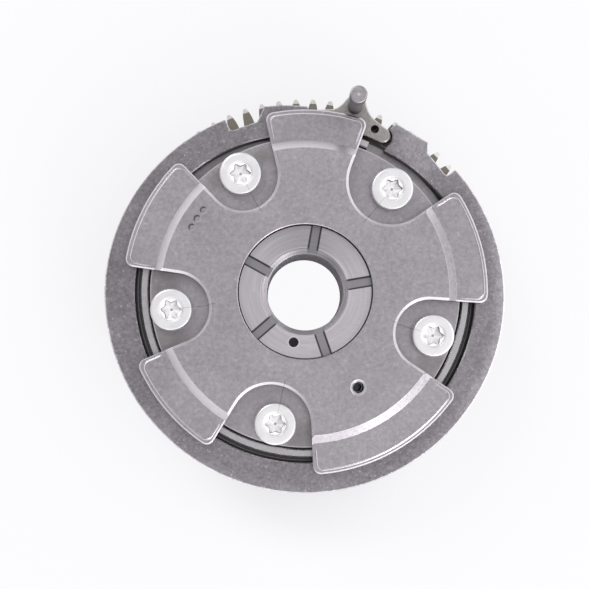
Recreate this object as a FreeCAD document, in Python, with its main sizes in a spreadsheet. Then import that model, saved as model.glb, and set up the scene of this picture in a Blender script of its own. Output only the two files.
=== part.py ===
import FreeCAD, Part
import math
import os
import Sketcher

# Vane-type cam phaser with a spring-loaded split gear.
# The rear face of the drive gear is the plane z = 0, the cam axis is the Z axis,
# and the cover faces up. All lengths are millimetres, all angles are degrees
# counted from +X towards +Y.

SIZES = (
    ("plate_thick", 7.0, "back plate of the drive gear"),
    ("chamber_high", 17.0, "height of the oil chambers"),
    ("flange_thick", 3.0, "bolt flange of the cover, the floor of its windows"),
    ("tab_gap", 0.9, "underside of the tabs above the floor of the windows"),
    ("tab_thick", 2.5, "tabs of the cover"),
    ("disc_step", 2.2, "raised disc above the tabs"),
    ("collar_stand", 0.3, "top of the collar above the floor of the windows"),
    ("face_gap", 0.3, "axial gap between rings that turn past each other"),
    ("ring_thick", 4.5, "open spring ring"),
    ("backlash_width", 4.2, "face width of the backlash gear"),
    ("gear_width", 14.3, "face width of the drive gear"),
    ("run_clear", 0.05, "radial clearance of a running fit"),
    ("spigot_clear", 0.05, "stator in its collar"),
    ("end_clear", 0.05, "rotor to the ends of the chambers"),
    ("bolt_clear", 0.2, "bolt shank in a through hole"),
    ("thread_clear", 0.02, "bolt shank in its tapped hole"),
    ("journal_r", 17.0, "rear journal of the rotor"),
    ("chamber_deep", 16.85, "chambers, from their wall to the rotor"),
    ("boss_r", 20.1, "front boss of the rotor, in the cover"),
    ("boss_sunk", 2.0, "front of the boss below the raised disc"),
    ("boss_edge", 0.25, "broken edge of the boss"),
    ("bore_r", 11.45, "centre bore of the rotor"),
    ("bore_chamfer", 1.4, "front chamfer of the centre bore"),
    ("bore_groove_deep", 0.45, "two ring grooves in the centre bore"),
    ("bore_groove_wide", 1.0, "width of a ring groove"),
    ("bore_groove_first", 3.0, "first ring groove below the boss"),
    ("bore_groove_step", 2.0, "from ring groove to ring groove"),
    ("cam_seat_r", 13.0, "seat of the camshaft nose"),
    ("cam_seat_deep", 5.0, "depth of the camshaft seat"),
    ("stator_r", 47.2, "outside of the stator"),
    ("stator_wall", 4.2, "stator outside its chambers"),
    ("land_half", 15.0, "half width of a land, as an angle"),
    ("vane_tip_gap", 0.3, "vane to chamber wall"),
    ("vane_half", 7.0, "half width of a plain vane, as an angle"),
    ("lock_vane_half", 15.8, "half width of the lock vane, as an angle"),
    ("vane_angle_1", 15.7, "plain vane"),
    ("vane_angle_2", 84.25, "plain vane"),
    ("vane_angle_3", 153.0, "plain vane"),
    ("vane_angle_4", 222.3, "plain vane"),
    ("vane_angle_5", 299.4, "lock vane"),
    ("seal_thick", 2.0, "tip seal"),
    ("seal_deep", 2.9, "radial height of a tip seal"),
    ("seal_slot_deep", 3.4, "slot of a tip seal"),
    ("seal_clear", 0.05, "tip seal in its slot"),
    ("seal_run", 0.05, "tip seal to the chamber wall"),
    ("leaf_thick", 0.25, "leaf spring under a tip seal"),
    ("leaf_span", 14.0, "length of a leaf spring"),
    ("leaf_wide", 1.7, "width of a leaf spring"),
    ("leaf_clear", 0.02, "leaf spring to its slot and to its seal"),
    ("oil_groove_wide", 3.1, "radial oil groove in the boss"),
    ("oil_groove_deep", 1.0, "depth of an oil groove"),
    ("oil_groove_1", 9.6, "place of an oil groove"),
    ("oil_groove_2", 80.0, "place of an oil groove"),
    ("oil_groove_3", 151.0, "place of an oil groove"),
    ("oil_groove_4", 221.0, "place of an oil groove"),
    ("oil_groove_5", 289.0, "place of an oil groove"),
    ("mark_hole_r", 1.5, "blind hole in the boss"),
    ("mark_hole_at", 15.4, "blind hole from the axis"),
    ("mark_hole_angle", 257.0, "place of the blind hole"),
    ("mark_hole_deep", 4.0, "depth of the blind hole"),
    ("lock_inset", 10.4, "lock pin, in from the wall of the chambers"),
    ("lock_angle", 299.0, "place of the lock pin"),
    ("lock_pin_r", 3.95, "lock pin"),
    ("lock_pin_long", 9.0, "length of the lock pin"),
    ("lock_pin_free", 0.3, "nose of the released lock pin above the plate"),
    ("lock_pin_well_r", 2.7, "spring well in the lock pin"),
    ("lock_pin_floor", 2.5, "solid nose of the lock pin"),
    ("lock_pin_edge", 0.6, "chamfer of the lock pin nose"),
    ("bush_r", 6.0, "outside of the lock bush"),
    ("bush_long", 5.0, "length of the lock bush"),
    ("press_clear", 0.01, "bush, rivet or peg in its hole"),
    ("cap_thick", 2.7, "cap of the lock spring"),
    ("cap_vent_r", 1.4, "vent in the cap"),
    ("spring_mean_r", 2.1, "lock spring, to the middle of its wire"),
    ("spring_wire_r", 0.35, "wire of the lock spring"),
    ("spring_turns", 6.0, "turns of the lock spring"),
    ("spring_end_gap", 0.05, "lock spring to its seats"),
    ("collar_wall", 2.35, "wall of the collar"),
    ("collar_edge", 0.35, "broken edges of the collar"),
    ("cut_over", 0.5, "cut of the collar's gap past its walls"),
    ("collar_gap_start", 34.0, "right end of the gap in the collar"),
    ("collar_gap_end", 142.0, "left end of the gap in the collar"),
    ("lug_start", 66.9, "right side of the stop lug"),
    ("lug_end", 69.8, "left side of the stop lug"),
    ("rear_edge", 1.0, "chamfer of the rear face"),
    ("rear_relief_r", 36.0, "outside of the relief in the rear face"),
    ("rear_relief_in", 22.0, "inside of the relief in the rear face"),
    ("rear_relief_deep", 0.8, "depth of the relief in the rear face"),
    ("tooth_count", 70.0, "teeth of each gear"),
    ("gear_rim", 4.25, "backlash gear under its teeth"),
    ("pressure_angle", 14.5, "pressure angle of the teeth"),
    ("addendum", 2.6, "tooth above the pitch circle"),
    ("dedendum", 2.8, "tooth below the pitch circle"),
    ("tooth_phase", 0.08, "place of the first tooth"),
    ("tooth_chamfer_deep", 1.5, "tip chamfer at the end faces, radial"),
    ("tooth_chamfer_high", 1.3, "tip chamfer at the end faces, axial"),
    ("tooth_rear_chamfer", 0.8, "tip chamfer at the rear"),
    ("cover_clear", 0.05, "boss in the cover"),
    ("cover_bore_edge", 0.25, "broken edge of the cover bore"),
    ("flange_gap", 0.55, "flange of the cover to the collar"),
    ("disc_inset", 4.35, "flat of the raised disc, in from the stator"),
    ("bevel_run", 2.5, "width of the bevel round the disc"),
    ("tab_reach", 5.1, "tabs past the collar"),
    ("tab_corner", 2.4, "corner radius of the tabs"),
    ("tab_rim", 0.45, "bright rim of the tabs"),
    ("window_reach", 11.6, "inner end of the windows, in from the bolts"),
    ("window_rim", 0.8, "chamfer round the windows"),
    ("window_mid_1", 52.0, "middle of a window"),
    ("window_mid_2", 118.3, "middle of a window"),
    ("window_mid_3", 187.05, "middle of a window"),
    ("window_mid_4", 255.45, "middle of a window"),
    ("window_mid_5", 341.35, "middle of a window"),
    ("window_half_1", 17.8, "half of a window"),
    ("window_half_2", 15.4, "half of a window"),
    ("window_half_3", 15.45, "half of a window"),
    ("window_half_4", 17.15, "half of a window"),
    ("window_half_5", 15.15, "half of a window"),
    ("vent_r", 1.65, "vent over the lock pin"),
    ("vent_chamfer", 0.8, "chamfer of the vent"),
    ("dimple_r", 1.0, "balance dimple"),
    ("dimple_inset", 4.05, "balance dimples, in from the flat of the disc"),
    ("dimple_deep", 0.5, "depth of a balance dimple"),
    ("dimple_angle_1", 141.3, "place of a balance dimple"),
    ("dimple_angle_2", 145.9, "place of a balance dimple"),
    ("dimple_angle_3", 150.35, "place of a balance dimple"),
    ("bolt_inset", 2.5, "bolts, in from the wall of the chambers"),
    ("bolt_angle_1", 49.9, "place of a bolt"),
    ("bolt_angle_2", 118.6, "place of a bolt"),
    ("bolt_angle_3", 187.4, "place of a bolt"),
    ("bolt_angle_4", 257.2, "place of a bolt"),
    ("bolt_angle_5", 341.3, "place of a bolt"),
    ("bolt_r", 3.0, "shank of a bolt"),
    ("bolt_grip", 5.5, "bolt in the back plate"),
    ("bolt_hole_deep", 6.0, "tapped hole in the back plate"),
    ("head_r", 6.35, "head of a bolt"),
    ("head_high", 3.3, "height of a bolt head"),
    ("head_edge", 0.6, "rounded edge of a bolt head"),
    ("star_r", 2.45, "corners of the star recess"),
    ("star_lobe_half", 13.0, "half width of a lobe of the star recess, as an angle"),
    ("star_tip", 0.6, "tip radius of the star recess"),
    ("star_valley", 1.2, "valley radius of the star recess"),
    ("star_deep", 2.0, "depth of the star recess"),
    ("star_sink_r", 3.5, "countersink round the star recess"),
    ("star_sink_deep", 0.35, "depth of that countersink"),
    ("ring_mid", 75.5, "middle of the gap in the spring ring"),
    ("ring_over", 1.15, "outside of the spring ring over the tips of the teeth"),
    ("ring_gap", 1.7, "inside of the spring ring to the collar"),
    ("ring_full_left", 178.0, "where the outside of the left arm starts to taper"),
    ("ring_full_right", -18.0, "where the outside of the right arm starts to taper"),
    ("ring_inner_left", 165.0, "where the inside of the left arm starts to taper"),
    ("ring_inner_right", 10.0, "where the inside of the right arm starts to taper"),
    ("ring_edge", 0.35, "chamfer of the spring ring"),
    ("plate_corner", 0.6, "rounded corners of the spring ring and the lever"),
    ("ring_end_half", 13.9, "end of the ring from the middle of its gap"),
    ("ring_rounder", 2.9, "bend radius of the tapering arms, less than that of the ring"),
    ("ring_tip_right", 2.55, "outer corner of the right end, below its outside"),
    ("ring_tip_left", 4.35, "outer corner of the left end, below its outside"),
    ("ring_heel_right", 11.55, "inner corner of the right end, below its outside"),
    ("ring_heel_left", 13.05, "inner corner of the left end, below its outside"),
    ("ring_heel_half", 14.1, "inner corners from the middle of the gap"),
    ("socket_r", 3.1, "socket in each end of the ring"),
    ("socket_out", 5.15, "outer lip of a socket, below its outside"),
    ("socket_in", 9.55, "inner lip of a socket, below its outside"),
    ("socket_out_half", 12.8, "outer lip from the middle of the gap"),
    ("socket_in_half", 14.9, "inner lip from the middle of the gap"),
    ("notch_right_start", 39.3, "right side of the right notch"),
    ("notch_right_foot", 48.6, "end of the floor of the right notch"),
    ("notch_right_end", 50.6, "left side of the right notch"),
    ("notch_right_r", 5.25, "floor of the right notch, below its outside"),
    ("notch_right_foot_r", 4.45, "floor of the right notch at its left end, below its outside"),
    ("notch_right_rim", 1.9, "rim of the ring at the right notch, below its outside"),
    ("notch_left_start", 102.4, "right side of the left notch"),
    ("notch_left_foot", 105.6, "start of the floor of the left notch"),
    ("notch_left_end", 114.7, "left side of the left notch"),
    ("notch_left_r", 7.05, "floor of the left notch, below its outside"),
    ("notch_left_rim", 3.05, "rim of the ring at the left notch, below its outside"),
    ("notch_round", 1.2, "round corner of a notch"),
    ("lever_in", 9.75, "inside of the lever, in from the outside of the ring"),
    ("lever_out", 5.35, "outside of the lever arms, in from the ring"),
    ("lever_nose_half", 11.9, "nose of the lever from its middle"),
    ("lever_shoulder_r", 4.45, "shoulders of the lever, in from the ring"),
    ("lever_shoulder_right", 8.1, "right shoulder from the middle of the gap"),
    ("lever_shoulder_left", 5.5, "left shoulder from the middle of the gap"),
    ("lever_flank_r", 7.5, "hollow flanks of the boss"),
    ("peg_boss_turn", 65.0, "half of the boss that stands free of the flanks"),
    ("lever_edge", 0.35, "chamfer of the lever"),
    ("lever_hole_r", 1.25, "locking hole of the lever"),
    ("lever_hole_at", 6.95, "locking hole, in from the outside of the ring"),
    ("lever_hole_angle", 66.85, "place of the locking hole"),
    ("rivet_r", 1.25, "rivet of the lever"),
    ("rivet_at", 7.55, "rivet, in from the outside of the ring"),
    ("rivet_angle", 82.4, "place of the rivet"),
    ("peg_at", 2.45, "peg, in from the outside of the ring"),
    ("peg_angle", 74.9, "place of the peg"),
    ("peg_boss_r", 3.5, "boss of the lever round the peg"),
    ("peg_r", 2.55, "head of the peg"),
    ("peg_neck_r", 2.3, "neck of the peg"),
    ("peg_high", 18.8, "peg above the lever"),
    ("peg_head", 4.6, "length of the peg head"),
    ("peg_step", 0.3, "step under the head of the peg"),
    ("peg_edge", 0.45, "chamfer of the peg"),
)
ARM_COUNT = 5
LOBE_COUNT = 6
WHOLE_TURN = 360
SMOOTH_TURN = 3.0
INWARD, OUTWARD = 0.9, 1.2  # cuts reach past a wall by these shares of its radius

doc = FreeCAD.newDocument("cam_phaser")
sheet = doc.addObject("Spreadsheet::Sheet", "sizes")
for row, (alias, number, meaning) in enumerate(SIZES, start=1):
    sheet.set(f"A{row}", meaning)
    sheet.set(f"B{row}", str(number))
    sheet.setAlias(f"B{row}", alias)
doc.recompute()

# Heights above the rear face, as expressions on the sheet.
Z_FLOOR = "sizes.plate_thick"
Z_FLANGE = f"({Z_FLOOR} + sizes.chamber_high)"
Z_WINDOW = f"({Z_FLANGE} + sizes.flange_thick)"
Z_TAB_UNDER = f"({Z_WINDOW} + sizes.tab_gap)"
Z_TAB = f"({Z_TAB_UNDER} + sizes.tab_thick)"
Z_DISC = f"({Z_TAB} + sizes.disc_step)"
Z_COLLAR = f"({Z_WINDOW} + sizes.collar_stand)"
Z_RING_TOP = f"({Z_TAB_UNDER} - sizes.face_gap)"
Z_RING = f"({Z_RING_TOP} - sizes.ring_thick)"
Z_BACKLASH_TOP = f"({Z_RING} - sizes.face_gap)"
Z_BACKLASH = f"({Z_BACKLASH_TOP} - sizes.backlash_width)"
Z_TEETH_TOP = f"({Z_BACKLASH} - sizes.face_gap)"
Z_TEETH = f"({Z_TEETH_TOP} - sizes.gear_width)"
Z_BOSS = f"({Z_DISC} - sizes.boss_sunk)"
Z_ROTOR = f"({Z_FLOOR} + sizes.end_clear)"
Z_ROTOR_TOP = f"({Z_FLANGE} - sizes.end_clear)"
Z_LEVER_TOP = Z_RING_TOP
Z_PIN = f"({Z_FLOOR} + sizes.lock_pin_free)"
Z_CAP = f"({Z_ROTOR_TOP} - sizes.cap_thick)"

# Radii that follow from a fit.
R_CHAMBER = "(sizes.stator_r - sizes.stator_wall)"
R_HUB = f"({R_CHAMBER} - sizes.chamber_deep)"
R_LOCK = f"({R_CHAMBER} - sizes.lock_inset)"
R_PLATE_BORE = "(sizes.journal_r + sizes.run_clear)"
R_STATOR_BORE = f"({R_HUB} + sizes.run_clear)"
R_COVER_BORE = "(sizes.boss_r + sizes.cover_clear)"
R_COLLAR_IN = "(sizes.stator_r + sizes.spigot_clear)"
R_COLLAR = f"({R_COLLAR_IN} + sizes.collar_wall)"
R_FLANGE = f"({R_COLLAR_IN} - sizes.flange_gap)"
R_BACKLASH_BORE = f"({R_COLLAR} + sizes.run_clear)"
R_BOLTS = f"({R_CHAMBER} - sizes.bolt_inset)"
R_VANE = f"({R_CHAMBER} - sizes.vane_tip_gap)"
R_SEAL = f"({R_CHAMBER} - sizes.seal_run)"
R_SEAL_SLOT = f"({R_VANE} - sizes.seal_slot_deep)"
R_ROOT = f"({R_BACKLASH_BORE} + sizes.gear_rim)"
R_PITCH = f"({R_ROOT} + sizes.dedendum)"
R_TIP = f"({R_PITCH} + sizes.addendum)"
R_DISC = "(sizes.stator_r - sizes.disc_inset)"
R_TAB = f"({R_COLLAR} + sizes.tab_reach)"
R_RING = f"({R_TIP} + sizes.ring_over)"
R_RING_IN = f"({R_COLLAR} + sizes.ring_gap)"
R_LOCK_BORE = "(sizes.lock_pin_r + sizes.run_clear)"


def from_ring(name):
    """The radius of a point whose size is counted in from the outside of the ring."""
    return f"({R_RING} - sizes.{name})"


R_PEG, R_RIVET = from_ring("peg_at"), from_ring("rivet_at")
R_LOCKING_HOLE = from_ring("lever_hole_at")
R_LEVER_IN, R_LEVER_OUT = from_ring("lever_in"), from_ring("lever_out")


def val(expression):
    """The number that an expression on the sheet stands for."""
    return float(sheet.evalExpression(expression))


def polar(radius, angle):
    """The x and y expressions of a point at a radius and an angle."""
    return (f"({radius}) * cos(({angle}) * 1deg)",
            f"({radius}) * sin(({angle}) * 1deg)")


def turned(along, across, angle):
    """The x and y expressions of a point in a frame turned by an angle."""
    return (f"({along}) * cos(({angle}) * 1deg) - ({across}) * sin(({angle}) * 1deg)",
            f"({along}) * sin(({angle}) * 1deg) + ({across}) * cos(({angle}) * 1deg)")


def make_body(label):
    """An empty body with its own label."""
    body = doc.addObject("PartDesign::Body", label)
    body.Label = label
    return body


def origin_item(body, role):
    """One of the base planes or axes of a body."""
    return next(item for item in body.Origin.OriginFeatures if item.Role == role)


def make_sketch(body, name, role="XY_Plane", height=None):
    """A sketch on a base plane of its body, lifted to a height."""
    sketch = body.newObject("Sketcher::SketchObject", name)
    sketch.AttachmentSupport = (origin_item(body, role), [""])
    sketch.MapMode = "FlatFace"
    if height is not None:
        sketch.setExpression("AttachmentOffset.Base.z", height)
    return sketch


def tie(sketch, kind, geometry, place, expression):
    """Fix one coordinate or radius of a sketch by an expression."""
    number = val(expression)
    if kind == "Radius":
        constraint = Sketcher.Constraint(kind, geometry, number)
    elif abs(number) < 1e-9:
        axis = -2 if kind == "DistanceX" else -1
        sketch.addConstraint(Sketcher.Constraint("PointOnObject", geometry, place, axis))
        return
    else:
        constraint = Sketcher.Constraint(kind, geometry, place, number)
    index = sketch.addConstraint(constraint)
    sketch.setExpression(f"Constraints[{index}]", expression)


def arc_between(start, finish, radius, turn, long_way):
    """The circle arc from start to finish, turning left (1) or right (-1)."""
    chord = finish - start
    half = chord.Length / 2
    rise = math.sqrt(max(radius * radius - half * half, 0.0))
    left = FreeCAD.Vector(-chord.y, chord.x, 0).normalize()
    side = -turn if long_way else turn
    centre = (start + finish) * 0.5 + left * (rise * side)
    first, last = (start, finish) if turn > 0 else (finish, start)
    begin = math.atan2(first.y - centre.y, first.x - centre.x)
    end = math.atan2(last.y - centre.y, last.x - centre.x)
    circle = Part.Circle(centre, FreeCAD.Vector(0, 0, 1), radius)
    return Part.ArcOfCircle(circle, begin, end)


def draw_outline(sketch, corners):
    """Draw a closed outline. Each corner is (x, y) or (x, y, radius, turn) or
    (x, y, radius, turn, True): the edge that leaves it is then an arc, turning
    left (1) or right (-1), and with True more than half a circle."""
    places = [FreeCAD.Vector(val(corner[0]), val(corner[1]), 0) for corner in corners]
    edges = []
    for index, corner in enumerate(corners):
        start, finish = places[index], places[(index + 1) % len(corners)]
        if len(corner) == 2:
            edges.append((sketch.addGeometry(Part.LineSegment(start, finish)), 1, 2))
            continue
        radius, turn = corner[2], corner[3]
        arc = arc_between(start, finish, val(radius), turn, len(corner) == 5)
        geometry = sketch.addGeometry(arc)
        edges.append((geometry, 1, 2) if turn > 0 else (geometry, 2, 1))
        tie(sketch, "Radius", geometry, None, radius)
    for index, (geometry, start, finish) in enumerate(edges):
        following = edges[(index + 1) % len(edges)]
        sketch.addConstraint(Sketcher.Constraint(
            "Coincident", geometry, finish, following[0], following[1]))
        tie(sketch, "DistanceX", geometry, start, corners[index][0])
        tie(sketch, "DistanceY", geometry, start, corners[index][1])


def draw_circle(sketch, place, radius):
    """Draw a circle at a place given by two expressions."""
    centre = FreeCAD.Vector(val(place[0]), val(place[1]), 0)
    circle = Part.Circle(centre, FreeCAD.Vector(0, 0, 1), val(radius))
    geometry = sketch.addGeometry(circle)
    tie(sketch, "Radius", geometry, None, radius)
    tie(sketch, "DistanceX", geometry, 3, place[0])
    tie(sketch, "DistanceY", geometry, 3, place[1])


def revolve(body, name, corners):
    """Turn an outline of (radius, height) corners about the Z axis."""
    sketch = make_sketch(body, name + "_profile", "XZ_Plane")
    draw_outline(sketch, corners)
    feature = body.newObject("PartDesign::Revolution", name)
    feature.Profile = sketch
    feature.ReferenceAxis = (sketch, ["V_Axis"])
    feature.Angle = 360
    sketch.Visibility = False
    return feature


def pad(body, name, sketch, length):
    """Raise a sketch by a length."""
    feature = body.newObject("PartDesign::Pad", name)
    feature.Profile = sketch
    feature.setExpression("Length", length)
    return feature


def pocket(body, name, sketch, depth):
    """Cut a sketch downwards by a depth."""
    feature = body.newObject("PartDesign::Pocket", name)
    feature.Profile = sketch
    feature.setExpression("Length", depth)
    return feature


def edge_names(feature, wanted):
    """The names of the edges of a feature that a test picks."""
    return [f"Edge{index}" for index, edge in enumerate(feature.Shape.Edges, start=1)
            if wanted(edge)]


def dress(body, kind, name, base, wanted, size):
    """A fillet or chamfer on the edges of a feature that a test picks."""
    doc.recompute()
    feature = body.newObject(f"PartDesign::{kind}", name)
    feature.Base = (base, edge_names(base, wanted))
    feature.setExpression("Radius" if kind == "Fillet" else "Size", size)
    return feature


def lies_at(edge, height):
    """Whether an edge lies in the plane of a height."""
    return all(abs(vertex.Z - height) < 1e-6 for vertex in edge.Vertexes) and \
        abs(edge.BoundBox.ZMax - edge.BoundBox.ZMin) < 1e-6


def axis_distance(point):
    """How far a point is from the cam axis."""
    return math.hypot(point.x, point.y)


def middle(edge):
    """The point half-way along an edge."""
    return edge.valueAt((edge.FirstParameter + edge.LastParameter) / 2)


def is_corner(shape, edge):
    """Whether an upright edge turns its wall by more than a few degrees."""
    if abs(edge.Vertexes[0].Z - edge.Vertexes[-1].Z) < 1e-6:
        return False
    point = middle(edge)
    normals = []
    for face in shape.ancestorsOfType(edge, Part.Face):
        across, along = face.Surface.parameter(point)
        normals.append(face.normalAt(across, along))
    return math.degrees(normals[0].getAngle(normals[1])) > SMOOTH_TURN


def round_and_break(body, base, top, corner, edge_size):
    """Round the upright corners of a plate and chamfer its top edges."""
    doc.recompute()
    rounded = dress(body, "Fillet", base.Name + "_corners", base,
                    lambda edge: is_corner(base.Shape, edge), corner)
    dress(body, "Chamfer", base.Name + "_edges", rounded,
          lambda edge: lies_at(edge, val(top)), edge_size)


# Front cover: raised disc, five tabs, and five windows with the bolt flange as floor.
def window_outline(mid, half):
    """The outline of a window: two radial sides and a round inner end that
    touches both, open past the tabs."""
    inner = f"({R_BOLTS} - sizes.window_reach)"
    centre = f"({inner} / (1 - sin({half} * 1deg)))"
    touch = f"({centre} * cos({half} * 1deg))"
    beyond = f"({R_TAB} * {OUTWARD})"
    return [polar(beyond, f"{mid} + {half}"),
            polar(touch, f"{mid} + {half}") + (f"{centre} * sin({half} * 1deg)", 1),
            polar(touch, f"{mid} - {half}"),
            polar(beyond, f"{mid} - {half}")]


def make_front_cover():
    body = make_body("front_cover")
    revolve(body, "cover_turning", [
        (R_COVER_BORE, Z_FLANGE), (R_FLANGE, Z_FLANGE), (R_FLANGE, Z_TAB_UNDER),
        (R_TAB, Z_TAB_UNDER), (R_TAB, Z_TAB),
        (f"{R_DISC} + sizes.bevel_run", Z_TAB), (R_DISC, Z_DISC),
        (f"{R_COVER_BORE} + sizes.cover_bore_edge", Z_DISC),
        (R_COVER_BORE, f"{Z_DISC} - sizes.cover_bore_edge")])
    windows = make_sketch(body, "window_outlines", height=Z_DISC)
    for number in range(1, ARM_COUNT + 1):
        draw_outline(windows, window_outline(
            f"sizes.window_mid_{number}", f"sizes.window_half_{number}"))
    pocket(body, "windows", windows, f"{Z_DISC} - {Z_WINDOW}")
    holes = make_sketch(body, "cover_bolt_circles", height=Z_WINDOW)
    for number in range(1, ARM_COUNT + 1):
        draw_circle(holes, polar(R_BOLTS, f"sizes.bolt_angle_{number}"),
                    "sizes.bolt_r + sizes.bolt_clear")
    pocket(body, "cover_bolt_holes", holes, "sizes.flange_thick")
    vent = make_sketch(body, "vent_circle", height=Z_DISC)
    draw_circle(vent, polar(R_LOCK, "sizes.lock_angle"), "sizes.vent_r")
    pocket(body, "vent", vent, f"{Z_DISC} - {Z_FLANGE}")
    dimples = make_sketch(body, "dimple_circles", height=Z_DISC)
    for number in (1, 2, 3):
        draw_circle(dimples, polar(f"{R_DISC} - sizes.dimple_inset", f"sizes.dimple_angle_{number}"),
                    "sizes.dimple_r")
    cut = pocket(body, "dimples", dimples, "sizes.dimple_deep")

    tab_r, tab_top, disc_top = val(R_TAB), val(Z_TAB), val(Z_DISC)
    corners = dress(body, "Fillet", "tab_corners", cut, lambda edge: (
        len(edge.Vertexes) == 2
        and abs(edge.Vertexes[0].Z - edge.Vertexes[1].Z) > 0.5
        and all(abs(axis_distance(end.Point) - tab_r) < 1e-4 for end in edge.Vertexes)),
        "sizes.tab_corner")
    bevel_r = val(f"{R_DISC} + sizes.bevel_run")
    rims = dress(body, "Chamfer", "tab_rims", corners, lambda edge: (
        lies_at(edge, tab_top) and axis_distance(middle(edge)) > bevel_r + 0.01),
        "sizes.tab_rim")
    bore_r = val(f"{R_COVER_BORE} + sizes.cover_bore_edge")
    disc_r = val(R_DISC)
    windows_cut = dress(body, "Chamfer", "window_rims", rims, lambda edge: (
        lies_at(edge, disc_top) and len(edge.Vertexes) == 2
        and bore_r + 0.01 < axis_distance(middle(edge)) < disc_r - 0.01),
        "sizes.window_rim")
    vent_r = val("sizes.vent_r")
    dress(body, "Chamfer", "vent_rim", windows_cut, lambda edge: (
        lies_at(edge, disc_top) and len(edge.Vertexes) == 1
        and abs(edge.Curve.Radius - vent_r) < 1e-6), "sizes.vent_chamfer")


# Stator: a ring with five lands; the chambers between them go right through.
def make_stator():
    body = make_body("stator")
    outside = make_sketch(body, "stator_circles", height=Z_FLOOR)
    draw_circle(outside, ("0", "0"), "sizes.stator_r")
    draw_circle(outside, ("0", "0"), R_STATOR_BORE)
    pad(body, "stator_ring", outside, "sizes.chamber_high")
    chambers = make_sketch(body, "chamber_outlines", height=Z_FLANGE)
    inside = f"({R_STATOR_BORE} * {INWARD})"
    for number in range(1, ARM_COUNT + 1):
        start = f"(sizes.bolt_angle_{number} + sizes.land_half)"
        following = number % ARM_COUNT + 1
        whole_turn = " + 360" if following == 1 else ""
        end = f"(sizes.bolt_angle_{following}{whole_turn} - sizes.land_half)"
        draw_outline(chambers, [
            polar(inside, start),
            polar(R_CHAMBER, start) + (R_CHAMBER, 1),
            polar(R_CHAMBER, end),
            polar(inside, end)])
    pocket(body, "chambers", chambers, "sizes.chamber_high")
    holes = make_sketch(body, "stator_bolt_circles", height=Z_FLANGE)
    for number in range(1, ARM_COUNT + 1):
        draw_circle(holes, polar(R_BOLTS, f"sizes.bolt_angle_{number}"),
                    "sizes.bolt_r + sizes.bolt_clear")
    pocket(body, "stator_bolt_holes", holes, "sizes.chamber_high")


# Gear teeth: flanks are arcs through the tip, pitch and root points of the involute.
def half_tooth(radius):
    """The angle from the middle of a tooth to its flank at a radius, in radians."""
    pressure = math.radians(val("sizes.pressure_angle"))
    base = val(R_PITCH) * math.cos(pressure)
    local = math.acos(min(base / radius, 1.0))
    pitch_half = math.pi / (2 * val("sizes.tooth_count"))
    return pitch_half + math.tan(pressure) - pressure - math.tan(local) + local


def toothed_wire(height):
    """The closed outline of all teeth at a height."""
    count = int(round(val("sizes.tooth_count")))
    radii = [val(R_ROOT), val(R_PITCH), val(R_TIP)]
    widths = [half_tooth(radius) for radius in radii]
    step = 2 * math.pi / count

    def at(radius, angle):
        return FreeCAD.Vector(radius * math.cos(angle), radius * math.sin(angle), height)

    edges = []
    for tooth in range(count):
        mid = math.radians(val("sizes.tooth_phase")) + tooth * step
        rising = [at(radius, mid - width) for radius, width in zip(radii, widths)]
        falling = [at(radius, mid + width) for radius, width in zip(radii, widths)][::-1]
        following = at(radii[0], mid + step - widths[0])
        edges.append(Part.Arc(*rising).toShape())
        edges.append(Part.Arc(rising[-1], at(radii[2], mid), falling[0]).toShape())
        edges.append(Part.Arc(*falling).toShape())
        root_mid = at(radii[0], mid + step / 2)
        edges.append(Part.Arc(falling[-1], root_mid, following).toShape())
    return Part.Wire(edges)


def toothed_rim(label, bottom, top, inside, front_chamfer, rear_chamfer):
    """A toothed ring with tip chamfers (radial, axial) at its front and rear."""
    disc = Part.Face(toothed_wire(bottom)).extrude(FreeCAD.Vector(0, 0, top - bottom))
    tip = val(R_TIP) + 0.01
    corners = [(inside, bottom), (tip - rear_chamfer[0], bottom),
               (tip, bottom + rear_chamfer[1]), (tip, top - front_chamfer[1]),
               (tip - front_chamfer[0], top), (inside, top)]
    points = [FreeCAD.Vector(radius, 0, height) for radius, height in corners]
    turning = Part.Face(Part.makePolygon(points + points[:1]))
    envelope = turning.revolve(FreeCAD.Vector(), FreeCAD.Vector(0, 0, 1), 360)
    rim = doc.addObject("Part::Feature", label)
    rim.Label = label
    rim.Shape = disc.common(envelope).Solids[0]
    return rim


def hole_tool(name, place, radius, bottom, top):
    """A cylinder that cuts a hole between two heights."""
    tool = doc.addObject("Part::Cylinder", name)
    tool.setExpression("Radius", radius)
    tool.setExpression("Height", f"({top}) - ({bottom}) + 2")
    tool.setExpression("Placement.Base.x", place[0])
    tool.setExpression("Placement.Base.y", place[1])
    tool.setExpression("Placement.Base.z", f"({bottom}) - 1")
    return tool


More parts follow.
